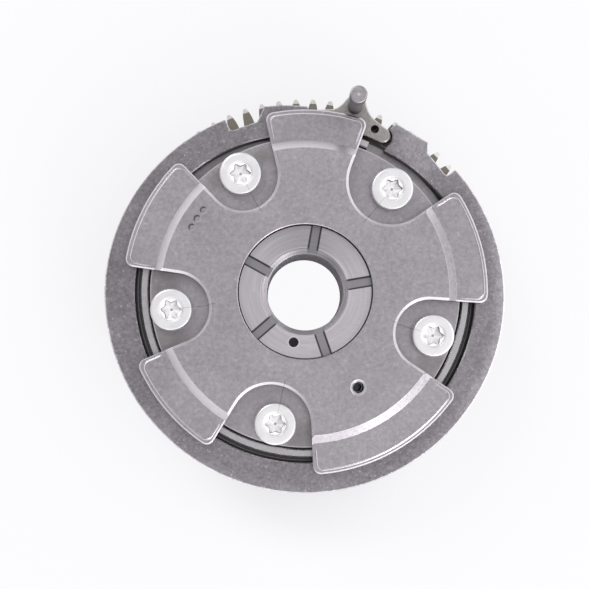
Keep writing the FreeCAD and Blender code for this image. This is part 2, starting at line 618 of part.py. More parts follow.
# Drive gear: back plate, collar and teeth in one piece.
def make_drive_gear():
    body = make_body("drive_gear_turning")
    revolve(body, "gear_turning", [
        (R_PLATE_BORE, "0"), ("sizes.rear_relief_in", "0"),
        ("sizes.rear_relief_in", "sizes.rear_relief_deep"),
        ("sizes.rear_relief_r", "sizes.rear_relief_deep"),
        ("sizes.rear_relief_r", "0"),
        (f"{R_COLLAR} - sizes.rear_edge", "0"), (R_COLLAR, "sizes.rear_edge"),
        (R_COLLAR, f"{Z_COLLAR} - sizes.collar_edge"),
        (f"{R_COLLAR} - sizes.collar_edge", Z_COLLAR),
        (f"{R_COLLAR_IN} + sizes.collar_edge", Z_COLLAR),
        (R_COLLAR_IN, f"{Z_COLLAR} - sizes.collar_edge"),
        (R_COLLAR_IN, Z_FLOOR), (R_PLATE_BORE, Z_FLOOR)])
    gaps = make_sketch(body, "collar_gap_outlines", height=Z_COLLAR)
    inside, outside = f"({R_COLLAR_IN} - sizes.cut_over)", f"({R_COLLAR} + sizes.cut_over)"
    for start, end in (("sizes.collar_gap_start", "sizes.lug_start"),
                       ("sizes.lug_end", "sizes.collar_gap_end")):
        draw_outline(gaps, [
            polar(inside, start), polar(outside, start) + (outside, 1),
            polar(outside, end), polar(inside, end) + (inside, -1)])
    pocket(body, "collar_gaps", gaps, f"{Z_COLLAR} - {Z_BACKLASH_TOP}")
    holes = make_sketch(body, "tapped_circles", height=Z_FLOOR)
    for number in range(1, ARM_COUNT + 1):
        draw_circle(holes, polar(R_BOLTS, f"sizes.bolt_angle_{number}"),
                    "sizes.bolt_r + sizes.thread_clear")
    pocket(body, "tapped_holes", holes, "sizes.bolt_hole_deep")
    seat = make_sketch(body, "bush_circle", height=Z_FLOOR)
    draw_circle(seat, polar(R_LOCK, "sizes.lock_angle"),
                "sizes.bush_r + sizes.press_clear")
    pocket(body, "bush_seat", seat, "sizes.bush_long")
    rear = (val("sizes.tooth_rear_chamfer"), val("sizes.tooth_rear_chamfer"))
    inner = val(f"{R_COLLAR} - sizes.collar_wall / 2")
    teeth = toothed_rim("drive_teeth", val(Z_TEETH), val(Z_TEETH_TOP), inner,
                        rear, rear)
    gear = doc.addObject("Part::Fuse", "drive_gear")
    gear.Label = "drive_gear"
    gear.Base, gear.Tool = body, teeth


# Backlash gear: a narrow gear that turns on the collar in front of the drive teeth.
def make_backlash_gear():
    front = (val("sizes.tooth_chamfer_deep"), val("sizes.tooth_chamfer_high"))
    rear = (val("sizes.tooth_rear_chamfer") / 2, val("sizes.tooth_rear_chamfer") / 2)
    rim = toothed_rim("backlash_rim", val(Z_BACKLASH), val(Z_BACKLASH_TOP),
                      val(R_BACKLASH_BORE), front, rear)
    tools = doc.addObject("Part::MultiFuse", "backlash_hole_tools")
    tools.Shapes = [
        hole_tool("locking_hole_tool", polar(R_LOCKING_HOLE, "sizes.lever_hole_angle"),
                  "sizes.lever_hole_r", Z_BACKLASH, Z_BACKLASH_TOP),
        hole_tool("rivet_hole_tool", polar(R_RIVET, "sizes.rivet_angle"),
                  "sizes.rivet_r + sizes.press_clear", Z_BACKLASH, Z_BACKLASH_TOP)]
    gear = doc.addObject("Part::Cut", "backlash_gear")
    gear.Label = "backlash_gear"
    gear.Base, gear.Tool = rim, tools


# Spring ring: a wide open ring whose two ends have round sockets for the lever.
def make_preload_ring():
    body = make_body("preload_ring")
    outline = make_sketch(body, "ring_outline", height=Z_RING)
    mid = "sizes.ring_mid"
    taper = f"({R_RING} - sizes.ring_rounder)"
    right_r, left_r = from_ring("notch_right_r"), from_ring("notch_left_r")
    right_start, left_end = "sizes.notch_right_start", "sizes.notch_left_end"
    draw_outline(outline, [
        polar(R_RING, "sizes.ring_full_left") + (R_RING, 1),
        polar(R_RING, "sizes.ring_full_right") + (taper, 1),
        polar(from_ring("notch_right_rim"), right_start),
        polar(f"{right_r} + sizes.notch_round", right_start) + ("sizes.notch_round", -1),
        polar(right_r, f"{right_start} + asin(sizes.notch_round / {right_r}) / 1deg"),
        polar(from_ring("notch_right_foot_r"), "sizes.notch_right_foot"),
        polar(from_ring("notch_right_rim"), "sizes.notch_right_end"),
        polar(from_ring("ring_tip_right"), f"{mid} - sizes.ring_end_half"),
        polar(from_ring("socket_out"), f"{mid} - sizes.socket_out_half")
        + ("sizes.socket_r", -1),
        polar(from_ring("socket_in"), f"{mid} - sizes.socket_in_half"),
        polar(from_ring("ring_heel_right"), f"{mid} - sizes.ring_heel_half")
        + (R_COLLAR, -1),
        polar(R_RING_IN, "sizes.ring_inner_right") + (R_RING_IN, -1, True),
        polar(R_RING_IN, "sizes.ring_inner_left") + (R_COLLAR, -1),
        polar(from_ring("ring_heel_left"), f"{mid} + sizes.ring_heel_half"),
        polar(from_ring("socket_in"), f"{mid} + sizes.socket_in_half") + ("sizes.socket_r", -1),
        polar(from_ring("socket_out"), f"{mid} + sizes.socket_out_half"),
        polar(from_ring("ring_tip_left"), f"{mid} + sizes.ring_end_half")
        + (taper, 1),
        polar(from_ring("notch_left_rim"), "sizes.notch_left_start"),
        polar(left_r, "sizes.notch_left_foot") + (left_r, 1),
        polar(left_r, f"{left_end} - asin(sizes.notch_round / {left_r}) / 1deg")
        + ("sizes.notch_round", -1),
        polar(f"{left_r} + sizes.notch_round", left_end),
        polar(from_ring("notch_left_rim"), left_end) + (taper, 1)])
    base = pad(body, "ring_plate", outline, "sizes.ring_thick")
    round_and_break(body, base, Z_RING_TOP, "sizes.plate_corner", "sizes.ring_edge")


# Lever: bridges the gap of the ring on the backlash gear and carries the peg.
def make_lever():
    body = make_body("tension_lever")
    outline = make_sketch(body, "lever_outline", height=Z_BACKLASH_TOP)
    nose = f"(({R_LEVER_OUT} - {R_LEVER_IN}) / 2)"
    right = "sizes.ring_mid - sizes.lever_nose_half"
    left = "sizes.ring_mid + sizes.lever_nose_half"
    boss_out = f"({R_PEG} + sizes.peg_boss_r * cos(sizes.peg_boss_turn * 1deg))"
    boss_half = "(sizes.peg_boss_r * sin(sizes.peg_boss_turn * 1deg))"
    draw_outline(outline, [
        polar(R_LEVER_IN, right) + (nose + " * 1.0001", 1),
        polar(R_LEVER_OUT, right),
        polar(from_ring("lever_shoulder_r"), "sizes.ring_mid - sizes.lever_shoulder_right")
        + ("sizes.lever_flank_r", -1),
        turned(boss_out, f"-{boss_half}", "sizes.peg_angle") + ("sizes.peg_boss_r", 1),
        turned(boss_out, boss_half, "sizes.peg_angle") + ("sizes.lever_flank_r", -1),
        polar(from_ring("lever_shoulder_r"), "sizes.ring_mid + sizes.lever_shoulder_left"),
        polar(R_LEVER_OUT, left) + (nose + " * 1.0001", 1),
        polar(R_LEVER_IN, left) + (R_LEVER_IN, -1)])
    plate = pad(body, "lever_plate", outline, f"{Z_LEVER_TOP} - {Z_BACKLASH_TOP}")
    round_and_break(body, plate, Z_LEVER_TOP, "sizes.plate_corner", "sizes.lever_edge")
    holes = make_sketch(body, "lever_circles", height=Z_LEVER_TOP)
    draw_circle(holes, polar(R_LOCKING_HOLE, "sizes.lever_hole_angle"),
                "sizes.lever_hole_r")
    draw_circle(holes, polar(R_RIVET, "sizes.rivet_angle"),
                "sizes.rivet_r + sizes.press_clear")
    draw_circle(holes, polar(R_PEG, "sizes.peg_angle"),
                "sizes.peg_neck_r + sizes.press_clear")
    pocket(body, "lever_holes", holes, f"{Z_LEVER_TOP} - {Z_BACKLASH_TOP}")


def place_body(body, place, height=None):
    """Tie the origin of a body to a place given by expressions."""
    body.setExpression("Placement.Base.x", place[0])
    body.setExpression("Placement.Base.y", place[1])
    if height is not None:
        body.setExpression("Placement.Base.z", height)


def make_peg():
    body = make_body("lever_peg")
    top = f"({Z_LEVER_TOP} + sizes.peg_high)"
    revolve(body, "peg_turning", [
        ("0", Z_BACKLASH_TOP), ("sizes.peg_neck_r", Z_BACKLASH_TOP),
        ("sizes.peg_neck_r", f"{top} - sizes.peg_head"),
        ("sizes.peg_r", f"{top} - sizes.peg_head + sizes.peg_step"),
        ("sizes.peg_r", f"{top} - sizes.peg_edge"),
        ("sizes.peg_r - sizes.peg_edge", top), ("0", top)])
    place_body(body, polar(R_PEG, "sizes.peg_angle"))


def make_rivet():
    rivet = doc.addObject("Part::Cylinder", "lever_rivet")
    rivet.Label = "lever_rivet"
    rivet.setExpression("Radius", "sizes.rivet_r")
    rivet.setExpression("Height", f"{Z_LEVER_TOP} - {Z_BACKLASH}")
    place = polar(R_RIVET, "sizes.rivet_angle")
    rivet.setExpression("Placement.Base.x", place[0])
    rivet.setExpression("Placement.Base.y", place[1])
    rivet.setExpression("Placement.Base.z", Z_BACKLASH)


# Rotor: hub with a front boss, a rear journal and five vanes.
def make_rotor():
    body = make_body("rotor")
    bore, deep = "sizes.bore_r", "(sizes.bore_r + sizes.bore_groove_deep)"
    first = f"({Z_BOSS} - sizes.bore_groove_first)"
    second = f"({first} - sizes.bore_groove_step)"
    revolve(body, "rotor_turning", [
        ("sizes.cam_seat_r", "0"), ("sizes.journal_r", "0"),
        ("sizes.journal_r", Z_ROTOR), (R_HUB, Z_ROTOR),
        (R_HUB, Z_ROTOR_TOP), ("sizes.boss_r", Z_ROTOR_TOP),
        ("sizes.boss_r", f"{Z_BOSS} - sizes.boss_edge"),
        ("sizes.boss_r - sizes.boss_edge", Z_BOSS),
        ("sizes.bore_r + sizes.bore_chamfer", Z_BOSS),
        (bore, f"{Z_BOSS} - sizes.bore_chamfer"),
        (bore, first), (deep, first),
        (deep, f"{first} - sizes.bore_groove_wide"), (bore, f"{first} - sizes.bore_groove_wide"),
        (bore, second), (deep, second),
        (deep, f"{second} - sizes.bore_groove_wide"),
        (bore, f"{second} - sizes.bore_groove_wide"),
        (bore, "sizes.cam_seat_deep"),
        ("sizes.cam_seat_r", "sizes.cam_seat_deep")])
    vanes = make_sketch(body, "vane_outlines", height=Z_ROTOR)
    root = f"({R_HUB} * {INWARD})"
    for number in range(1, ARM_COUNT + 1):
        mid = f"sizes.vane_angle_{number}"
        half = "sizes.lock_vane_half" if number == ARM_COUNT else "sizes.vane_half"
        draw_outline(vanes, [
            polar(root, f"{mid} - {half}"),
            polar(R_VANE, f"{mid} - {half}") + (R_VANE, 1),
            polar(R_VANE, f"{mid} + {half}"),
            polar(root, f"{mid} + {half}")])
    pad(body, "vanes", vanes, f"{Z_ROTOR_TOP} - {Z_ROTOR}")
    slots = make_sketch(body, "seal_slot_outlines", height=Z_ROTOR_TOP)
    across = "(sizes.seal_thick / 2 + sizes.seal_clear)"
    for number in range(1, ARM_COUNT + 1):
        mid = f"sizes.vane_angle_{number}"
        draw_outline(slots, [
            turned(R_SEAL_SLOT, f"-{across}", mid), turned(f"{R_VANE} + 1", f"-{across}", mid),
            turned(f"{R_VANE} + 1", across, mid), turned(R_SEAL_SLOT, across, mid)])
    pocket(body, "seal_slots", slots, f"{Z_ROTOR_TOP} - {Z_ROTOR}")
    lock = make_sketch(body, "lock_bore_circle", height=Z_ROTOR_TOP)
    draw_circle(lock, polar(R_LOCK, "sizes.lock_angle"), R_LOCK_BORE)
    pocket(body, "lock_bore", lock, f"{Z_ROTOR_TOP} - {Z_ROTOR}")
    grooves = make_sketch(body, "oil_groove_outlines", height=Z_BOSS)
    half = "(sizes.oil_groove_wide / 2)"
    near, far = "(sizes.bore_r - 1)", "(sizes.boss_r + 1)"
    for number in range(1, ARM_COUNT + 1):
        mid = f"sizes.oil_groove_{number}"
        draw_outline(grooves, [
            turned(near, f"-{half}", mid), turned(far, f"-{half}", mid),
            turned(far, half, mid), turned(near, half, mid)])
    pocket(body, "oil_grooves", grooves, "sizes.oil_groove_deep")
    mark = make_sketch(body, "mark_circle", height=Z_BOSS)
    draw_circle(mark, polar("sizes.mark_hole_at", "sizes.mark_hole_angle"),
                "sizes.mark_hole_r")
    pocket(body, "mark_hole", mark, "sizes.mark_hole_deep")


# Tip seals with their leaf springs, one of each in every vane.
def turn_body(body, angle):
    """Turn a body about the cam axis by an angle from the sheet."""
    body.Placement = FreeCAD.Placement(
        FreeCAD.Vector(), FreeCAD.Rotation(FreeCAD.Vector(0, 0, 1), val(angle)))
    body.setExpression("Placement.Rotation.Angle", f"{angle} * 1deg")


def make_vane_seal(number):
    body = make_body(f"vane_seal_{number}")
    outline = make_sketch(body, f"seal_outline_{number}", height=Z_ROTOR)
    foot = f"({R_SEAL} - sizes.seal_deep)"
    crown = f"sqrt({R_SEAL} * {R_SEAL} - sizes.seal_thick * sizes.seal_thick / 4)"
    half = "(sizes.seal_thick / 2)"
    draw_outline(outline, [
        (foot, f"-{half}"), (crown, f"-{half}", R_SEAL, 1), (crown, half), (foot, half)])
    pad(body, f"seal_strip_{number}", outline, f"{Z_ROTOR_TOP} - {Z_ROTOR}")
    turn_body(body, f"sizes.vane_angle_{number}")


def make_seal_spring(number):
    body = make_body(f"seal_spring_{number}")
    outline = make_sketch(body, f"leaf_outline_{number}", "XZ_Plane")
    foot = f"({R_SEAL_SLOT} + sizes.leaf_clear)"
    room = f"({R_SEAL} - sizes.seal_deep - {R_SEAL_SLOT})"
    rise = f"({room} - sizes.leaf_thick - 2 * sizes.leaf_clear)"
    bend = f"((sizes.leaf_span * sizes.leaf_span / 4 + {rise} * {rise}) / (2 * {rise}))"
    mid = f"(({Z_ROTOR} + {Z_ROTOR_TOP}) / 2)"
    low, high = f"({mid} - sizes.leaf_span / 2)", f"({mid} + sizes.leaf_span / 2)"
    draw_outline(outline, [
        (foot, low), (f"{foot} + sizes.leaf_thick", low, bend, 1),
        (f"{foot} + sizes.leaf_thick", high), (foot, high, bend, -1)])
    strip = body.newObject("PartDesign::Pad", f"leaf_strip_{number}")
    strip.Profile = outline
    strip.Midplane = True
    strip.setExpression("Length", "sizes.leaf_wide")
    turn_body(body, f"sizes.vane_angle_{number}")


# Lock pin with its bush, spring and cap, in the wide vane.
def make_lock_parts():
    place = polar(R_LOCK, "sizes.lock_angle")
    pin = make_body("lock_pin")
    end = f"({Z_PIN} + sizes.lock_pin_long)"
    well = f"({Z_PIN} + sizes.lock_pin_floor)"
    revolve(pin, "pin_turning", [
        ("0", Z_PIN), ("sizes.lock_pin_r - sizes.lock_pin_edge", Z_PIN),
        ("sizes.lock_pin_r", f"{Z_PIN} + sizes.lock_pin_edge"), ("sizes.lock_pin_r", end),
        ("sizes.lock_pin_well_r", end), ("sizes.lock_pin_well_r", well), ("0", well)])
    place_body(pin, place)
    bush = make_body("lock_bush")
    low = f"({Z_FLOOR} - sizes.bush_long)"
    revolve(bush, "bush_turning", [
        (R_LOCK_BORE, low), ("sizes.bush_r", low), ("sizes.bush_r", Z_FLOOR),
        (R_LOCK_BORE, Z_FLOOR)])
    place_body(bush, place)
    cap = make_body("lock_spring_cap")
    revolve(cap, "cap_turning", [
        ("sizes.cap_vent_r", Z_CAP), ("sizes.lock_pin_r", Z_CAP),
        ("sizes.lock_pin_r", Z_ROTOR_TOP), ("sizes.cap_vent_r", Z_ROTOR_TOP)])
    place_body(cap, place)
    start = f"({well} + sizes.spring_wire_r + sizes.spring_end_gap)"
    finish = f"({Z_CAP} - sizes.spring_wire_r - sizes.spring_end_gap)"
    helix = doc.addObject("Part::Helix", "lock_spring_line")
    helix.setExpression("Height", f"{finish} - {start}")
    helix.setExpression("Pitch", f"({finish} - {start}) / sizes.spring_turns")
    helix.setExpression("Radius", "sizes.spring_mean_r")
    wire = doc.addObject("Part::Circle", "lock_spring_wire")
    wire.setExpression("Radius", "sizes.spring_wire_r")
    wire.Placement = FreeCAD.Placement(
        FreeCAD.Vector(val("sizes.spring_mean_r"), 0, 0),
        FreeCAD.Rotation(FreeCAD.Vector(1, 0, 0), 90))
    wire.setExpression("Placement.Base.x", "sizes.spring_mean_r")
    spring = doc.addObject("Part::Sweep", "lock_spring")
    spring.Label = "lock_spring"
    spring.Sections = [wire]
    doc.recompute()
    spring.Spine = (helix, [f"Edge{i + 1}" for i in range(len(helix.Shape.Edges))])
    spring.Solid = True
    spring.Frenet = True
    spring.setExpression("Placement.Base.x", place[0])
    spring.setExpression("Placement.Base.y", place[1])
    spring.setExpression("Placement.Base.z", start)


# Cover bolts: flat round heads with a six-lobed star recess.
def make_cover_bolt(number):
    body = make_body(f"cover_bolt_{number}")
    top = f"({Z_WINDOW} + sizes.head_high)"
    revolve(body, f"bolt_turning_{number}", [
        ("0", f"{Z_FLOOR} - sizes.bolt_grip"),
        ("sizes.bolt_r", f"{Z_FLOOR} - sizes.bolt_grip"), ("sizes.bolt_r", Z_WINDOW),
        ("sizes.head_r", Z_WINDOW),
        ("sizes.head_r", f"{top} - sizes.head_edge", "sizes.head_edge", 1),
        ("sizes.head_r - sizes.head_edge", top),
        ("sizes.star_sink_r", top),
        ("sizes.star_sink_r - sizes.star_sink_deep", f"{top} - sizes.star_sink_deep"),
        ("0", f"{top} - sizes.star_sink_deep")])
    star = make_sketch(body, f"star_outline_{number}", height=top)
    corners = []
    for lobe in range(LOBE_COUNT):
        mid = lobe * WHOLE_TURN / LOBE_COUNT
        start, end = (f"{mid} {sign} sizes.star_lobe_half" for sign in "-+")
        corners.append(polar("sizes.star_r", start) + ("sizes.star_tip", 1))
        corners.append(polar("sizes.star_r", end) + ("sizes.star_valley", -1))
    draw_outline(star, corners)
    pocket(body, f"star_recess_{number}", star, "sizes.star_deep")
    place_body(body, polar(R_BOLTS, f"sizes.bolt_angle_{number}"))


make_front_cover()
make_stator()
make_drive_gear()
make_backlash_gear()
make_preload_ring()
make_lever()
make_peg()
make_rivet()
make_rotor()
make_lock_parts()
for arm in range(1, ARM_COUNT + 1):
    make_vane_seal(arm)
    make_seal_spring(arm)
    make_cover_bolt(arm)

NODES = ["front_cover", "stator", "drive_gear", "backlash_gear", "preload_ring",
         "tension_lever", "lever_peg", "lever_rivet", "rotor", "lock_pin", "lock_bush",
         "lock_spring_cap", "lock_spring"]
NODES += [f"{name}_{arm}" for name in ("vane_seal", "seal_spring", "cover_bolt")
          for arm in range(1, ARM_COUNT + 1)]

doc.recompute()
for item in doc.Objects:
    if "Invalid" in item.State or "Error" in item.State:
        raise RuntimeError(f"{item.Name} failed: {item.State}")
shapes = {}
for node in NODES:
    shape = doc.getObjectsByLabel(node)[0].Shape
    if shape.isNull() or not shape.isValid() or len(shape.Solids) != 1:
        raise RuntimeError(f"{node} has no sound solid")
    shapes[node] = shape
os.makedirs("parts", exist_ok=True)
for node, shape in shapes.items():
    shape.exportStep(f"parts/{node}.step")
    print(node, round(shape.Volume, 1))
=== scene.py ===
import math

import bpy
import numpy as np
from mathutils import Matrix, Vector


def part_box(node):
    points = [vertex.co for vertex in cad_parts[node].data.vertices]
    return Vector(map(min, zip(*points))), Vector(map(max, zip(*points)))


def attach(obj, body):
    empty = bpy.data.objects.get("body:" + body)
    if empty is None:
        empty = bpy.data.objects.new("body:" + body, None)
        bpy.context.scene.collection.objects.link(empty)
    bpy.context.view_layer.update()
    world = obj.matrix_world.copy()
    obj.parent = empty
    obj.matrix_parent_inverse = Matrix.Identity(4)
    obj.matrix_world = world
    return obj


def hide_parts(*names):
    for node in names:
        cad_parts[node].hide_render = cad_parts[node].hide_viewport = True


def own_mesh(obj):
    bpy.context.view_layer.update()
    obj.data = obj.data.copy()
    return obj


bl_info = {
    "name": "Cam phaser finish",
    "version": (1, 0, 0),
    "blender": (4, 5, 0),
    "location": "3D View > Sidebar > Phaser",
    "description": "Steel finishes, bolts, tab lips and studio for a cam phaser",
    "category": "Object",
}

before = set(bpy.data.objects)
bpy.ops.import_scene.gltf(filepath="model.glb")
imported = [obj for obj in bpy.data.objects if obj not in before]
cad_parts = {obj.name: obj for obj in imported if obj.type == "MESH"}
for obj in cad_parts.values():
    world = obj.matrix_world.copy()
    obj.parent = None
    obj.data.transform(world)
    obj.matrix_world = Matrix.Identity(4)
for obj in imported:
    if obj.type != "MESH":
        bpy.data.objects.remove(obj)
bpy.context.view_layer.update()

# Lengths in millimetres, angles in degrees

MM = 0.001
FLANGE_TOP = 27.0
TAB_TOP = 30.4
BEVEL = (42.9, 45.3)
DIMPLE_CIRCLE = 38.8
BOLT_ANGLES = (49.9, 118.6, 187.4, 257.2, 341.3)
WINDOW_MIDDLES = (52.0, 118.3, 187.05, 255.45, 341.35)
WINDOW_HALVES = (17.8, 15.4, 15.45, 17.15, 15.15)
GROOVE_ANGLES = (9.6, 80.0, 151.0, 221.0, 289.0)
DIMPLE_ANGLES = (141.3, 145.9, 150.35)

# Places as a radius and an angle, and spots of painted shade round the bolt heads with their
# reach as well

PEG = (58.0, 74.9)
STOP_LUG = (48.4, 68.35)
VENT = (32.6, 299.0)
BLIND_HOLE = (15.4, 257.0)
# Spots of painted shade round the bolt heads: radius, angle and reach
BOLT_SHADE_SPOTS = ((44.0, 198.0, 9.0), (43.0, 176.0, 7.0), (43.5, 268.0, 7.0), (43.5, 332.0, 6.5),
          (43.0, 128.0, 4.5), (43.0, 108.0, 4.0))

# Colours of marks, of painted highlights on edges and of painted shade

# Warm dark tint of the painted shade round the bolt heads
BOLT_SHADE = (0.17, 0.165, 0.15, 1.0)
RIM_HIGHLIGHT = (0.75, 0.72, 0.76, 1.0)
BEVEL_HIGHLIGHT = (0.95, 0.92, 0.96, 1.0)
PEG_LIGHT = (0.75, 0.73, 0.75, 1.0)
TOOTH_BROWN = (0.22, 0.2, 0.165, 1.0)
TOOTH_EDGE_HIGHLIGHT = (0.8, 0.79, 0.76, 1.0)
LUG_LIGHT = (0.75, 0.74, 0.76, 1.0)
COLLAR_LIGHT = (0.7, 0.69, 0.71, 1.0)
BORE_SHADE = (0.2, 0.19, 0.2, 1.0)
BORE_HIGHLIGHT = (0.85, 0.82, 0.86, 1.0)
BORE_STEP_SHADE = (0.07, 0.065, 0.07, 1.0)
GROOVE_FLOOR = (0.24, 0.23, 0.245, 1.0)
GROOVE_WALL_SHADE = (0.05, 0.05, 0.05, 1.0)
HOLE_RIM_HIGHLIGHT = (0.8, 0.78, 0.8, 1.0)
HOLE_SHADE = (0.015, 0.015, 0.015, 1.0)

# Corners of a circle on turned pieces

AROUND = 96


# Shader maths

class Wire:
    """One output in a node tree. Signs between wires and numbers add Math nodes."""

    def __init__(self, finish, socket):
        self.finish = finish
        self.socket = socket

    def __add__(self, other):
        return self.finish.maths("ADD", self, other)

    def __radd__(self, other):
        return self.finish.maths("ADD", other, self)

    def __sub__(self, other):
        return self.finish.maths("SUBTRACT", self, other)

    def __rsub__(self, other):
        return self.finish.maths("SUBTRACT", other, self)

    def __mul__(self, other):
        return self.finish.maths("MULTIPLY", self, other)

    def __truediv__(self, other):
        return self.finish.maths("DIVIDE", self, other)

    def __pow__(self, other):
        return self.finish.maths("POWER", self, other)


class Finish:
    """A material whose nodes are written as expressions. Lengths are millimetres."""

    def __init__(self, name):
        self.material = bpy.data.materials.new(name)
        self.material.use_nodes = True
        self.tree = self.material.node_tree
        self.tree.nodes.clear()
        place = self.node("ShaderNodeTexCoord")["Object"]
        self.place = self.vector("SCALE", place, Scale=1.0 / MM)
        parts = self.node("ShaderNodeSeparateXYZ", Vector=self.place)
        self.x, self.y, self.z = parts["X"], parts["Y"], parts["Z"]
        self.radius = self.maths("SQRT", self.x * self.x + self.y * self.y)
        self.turn = self.maths("ARCTAN2", self.y, self.x)
        facing = self.node("ShaderNodeNewGeometry")["Normal"]
        self.up = self.node("ShaderNodeSeparateXYZ", Vector=facing)["Z"]

    def node(self, kind, settings=None, **feeds):
        """Add a node: its settings first, then values or wires for its inputs. The
        answer gives each output by name."""
        made = self.tree.nodes.new(kind)
        for name, value in (settings or {}).items():
            setattr(made, name, value)
        for name, value in feeds.items():
            self.feed(made.inputs[name.replace("_", " ")], value)
        return {out.name: Wire(self, out) for out in made.outputs}

    def feed(self, socket, value):
        """Join a wire to a socket, or set the socket's own value."""
        if isinstance(value, Wire):
            self.tree.links.new(value.socket, socket)
        else:
            socket.default_value = value

    def maths(self, operation, *values):
        made = self.tree.nodes.new("ShaderNodeMath")
        made.operation = operation
        for socket, value in zip(made.inputs, values):
            self.feed(socket, value)
        return Wire(self, made.outputs[0])

    def vector(self, operation, *values, **feeds):
        made = self.tree.nodes.new("ShaderNodeVectorMath")
        made.operation = operation
        for socket, value in zip(made.inputs, values):
            self.feed(socket, value)
        for name, value in feeds.items():
            self.feed(made.inputs[name], value)
        return Wire(self, made.outputs[0])

    def blend(self, share, first, second):
        """Mix two colours."""
        made = self.tree.nodes.new("ShaderNodeMix")
        made.data_type = "RGBA"
        self.feed(made.inputs[0], share)
        self.feed(made.inputs[6], first)
        self.feed(made.inputs[7], second)
        return Wire(self, made.outputs[2])

    def step(self, value, low, high):
        """0 below low, 1 above high and a smooth rise between them."""
        return self.node("ShaderNodeMapRange", {"interpolation_type": "SMOOTHSTEP"},
                         Value=value, From_Min=low, From_Max=high)["Result"]

    def band(self, value, low, high, soft):
        """1 between low and high, with soft borders."""
        rise = self.step(value, low - soft, low + soft)
        return rise * (1 - self.step(value, high - soft, high + soft))

    def grain(self, size, detail, rough, place=None):
        """Cloudy noise with features of about a size in millimetres."""
        return self.node("ShaderNodeTexNoise", Vector=place or self.place,
                         Scale=0.5 / size, Detail=detail, Roughness=rough)["Fac"]

    def pits(self, size):
        """Distance to the nearest of scattered points, in units of their spacing."""
        return self.node("ShaderNodeTexVoronoi", Vector=self.place,
                         Scale=1.0 / size)["Distance"]

    def stretched(self, across, along, high):
        """Polar coordinates scaled so that noise on them runs round the axis."""
        return self.node("ShaderNodeCombineXYZ", X=self.radius / across,
                         Y=self.turn * self.radius / along, Z=self.z / high)["Vector"]

    def strip(self, degrees, inner, outer, middle, half):
        """A radial line at an angle, from an inner to an outer radius, or two lines
        where their middles lie a distance aside of it."""
        turn = math.radians(degrees)
        along = self.x * math.cos(turn) + self.y * math.sin(turn)
        aside = self.maths("ABSOLUTE", self.y * math.cos(turn) - self.x * math.sin(turn))
        off = self.maths("ABSOLUTE", aside - middle)
        line = 1 - self.step(off, half * 0.5, half * 1.6)
        return line * self.band(along, inner, outer, 0.4)

    def spot(self, radius, degrees, low, high):
        """1 near a point given by radius and angle, falling to 0 from low to high."""
        x, y = polar(radius, degrees)
        apart = (self.x - float(x)) ** 2.0 + (self.y - float(y)) ** 2.0
        return 1 - self.step(self.maths("SQRT", apart), low, high)

    def chamfers(self):
        """1 on faces that lean, such as chamfers and rounded edges, 0 on flat tops
        and upright walls."""
        return self.step(self.up, 0.25, 0.5) * (1 - self.step(self.up, 0.93, 0.985))

    def walls(self):
        """1 on upright walls, 0 on faces that lean or lie."""
        return 1 - self.step(self.maths("ABSOLUTE", self.up), 0.1, 0.3)

    def surface(self, colour, rough, bump, height, metallic=1.0):
        """Close the material: colour, roughness and a bump of a height in mm."""
        normal = self.node("ShaderNodeBump", Distance=height * MM, Height=bump)["Normal"]
        shader = self.node("ShaderNodeBsdfPrincipled", Base_Color=colour,
                           Metallic=metallic, Roughness=rough, Normal=normal)["BSDF"]
        self.node("ShaderNodeOutputMaterial", Surface=shader)
        return self.material


def grey(colour, share):
    """A colour multiplied by a number."""
    return tuple(part * share for part in colour[:3]) + (1.0,)


def tumbled_steel(name, tone, speckle, blotch, edge, rough, grain_size=0.55, marks=None,
                  relief=0.012):
    """Blasted or tumbled steel: fine speckle, faint blotches, a painted highlight on chamfers
    and painted shade on upright walls. Marks is a function that gets the finish and the colour
    and gives the colour back."""
    finish = Finish(name)
    fine = finish.grain(grain_size, 3.0, 0.75)
    cloud = finish.grain(9.0, 3.0, 0.55)
    light = finish.step(finish.grain(0.7, 1.0, 0.5), 0.64, 0.74)
    share = 1 + (fine - 0.5) * (speckle * 8) + (cloud - 0.5) * (blotch * 3)
    share = share + light * speckle * 1.5
    # Painted highlight on chamfers, by the edge factor, and painted shade on upright walls
    share = share * (1 + finish.chamfers() * (edge - 1)) * (1 - finish.walls() * 0.35)
    colour = finish.vector("SCALE", tone[:3], Scale=share)
    if marks:
        colour = marks(finish, colour)
    shine = rough + (cloud - 0.5) * 0.16 + (fine - 0.5) * 0.1 - finish.chamfers() * 0.1
    return finish.surface(colour, shine, fine + light * 0.5, relief)


def turned_steel(name, tone, marks=None):
    """Steel with the fine rings that a turning tool leaves, and a painted highlight on its
    chamfers.
    """
    pitch, contrast, rough = 0.35, 0.2, 0.34
    finish = Finish(name)
    lines = finish.grain(0.5, 2.0, 0.5, finish.stretched(pitch, 14.0, 3.0))
    rays = finish.grain(0.5, 2.0, 0.6, finish.stretched(3.0, 0.45, 3.0))
    cloud = finish.grain(7.0, 2.0, 0.5)
    share = 1 + (lines - 0.5) * (contrast * 2) + (rays - 0.5) * contrast
    # Painted highlight on chamfers
    share = (share + (cloud - 0.5) * 0.14) * (1 + finish.chamfers() * 0.16)
    colour = finish.vector("SCALE", tone[:3], Scale=share)
    if marks:
        colour = marks(finish, colour)
    return finish.surface(colour, rough + (lines - 0.5) * 0.2, lines + rays * 0.4, 0.01)


# Surfaces

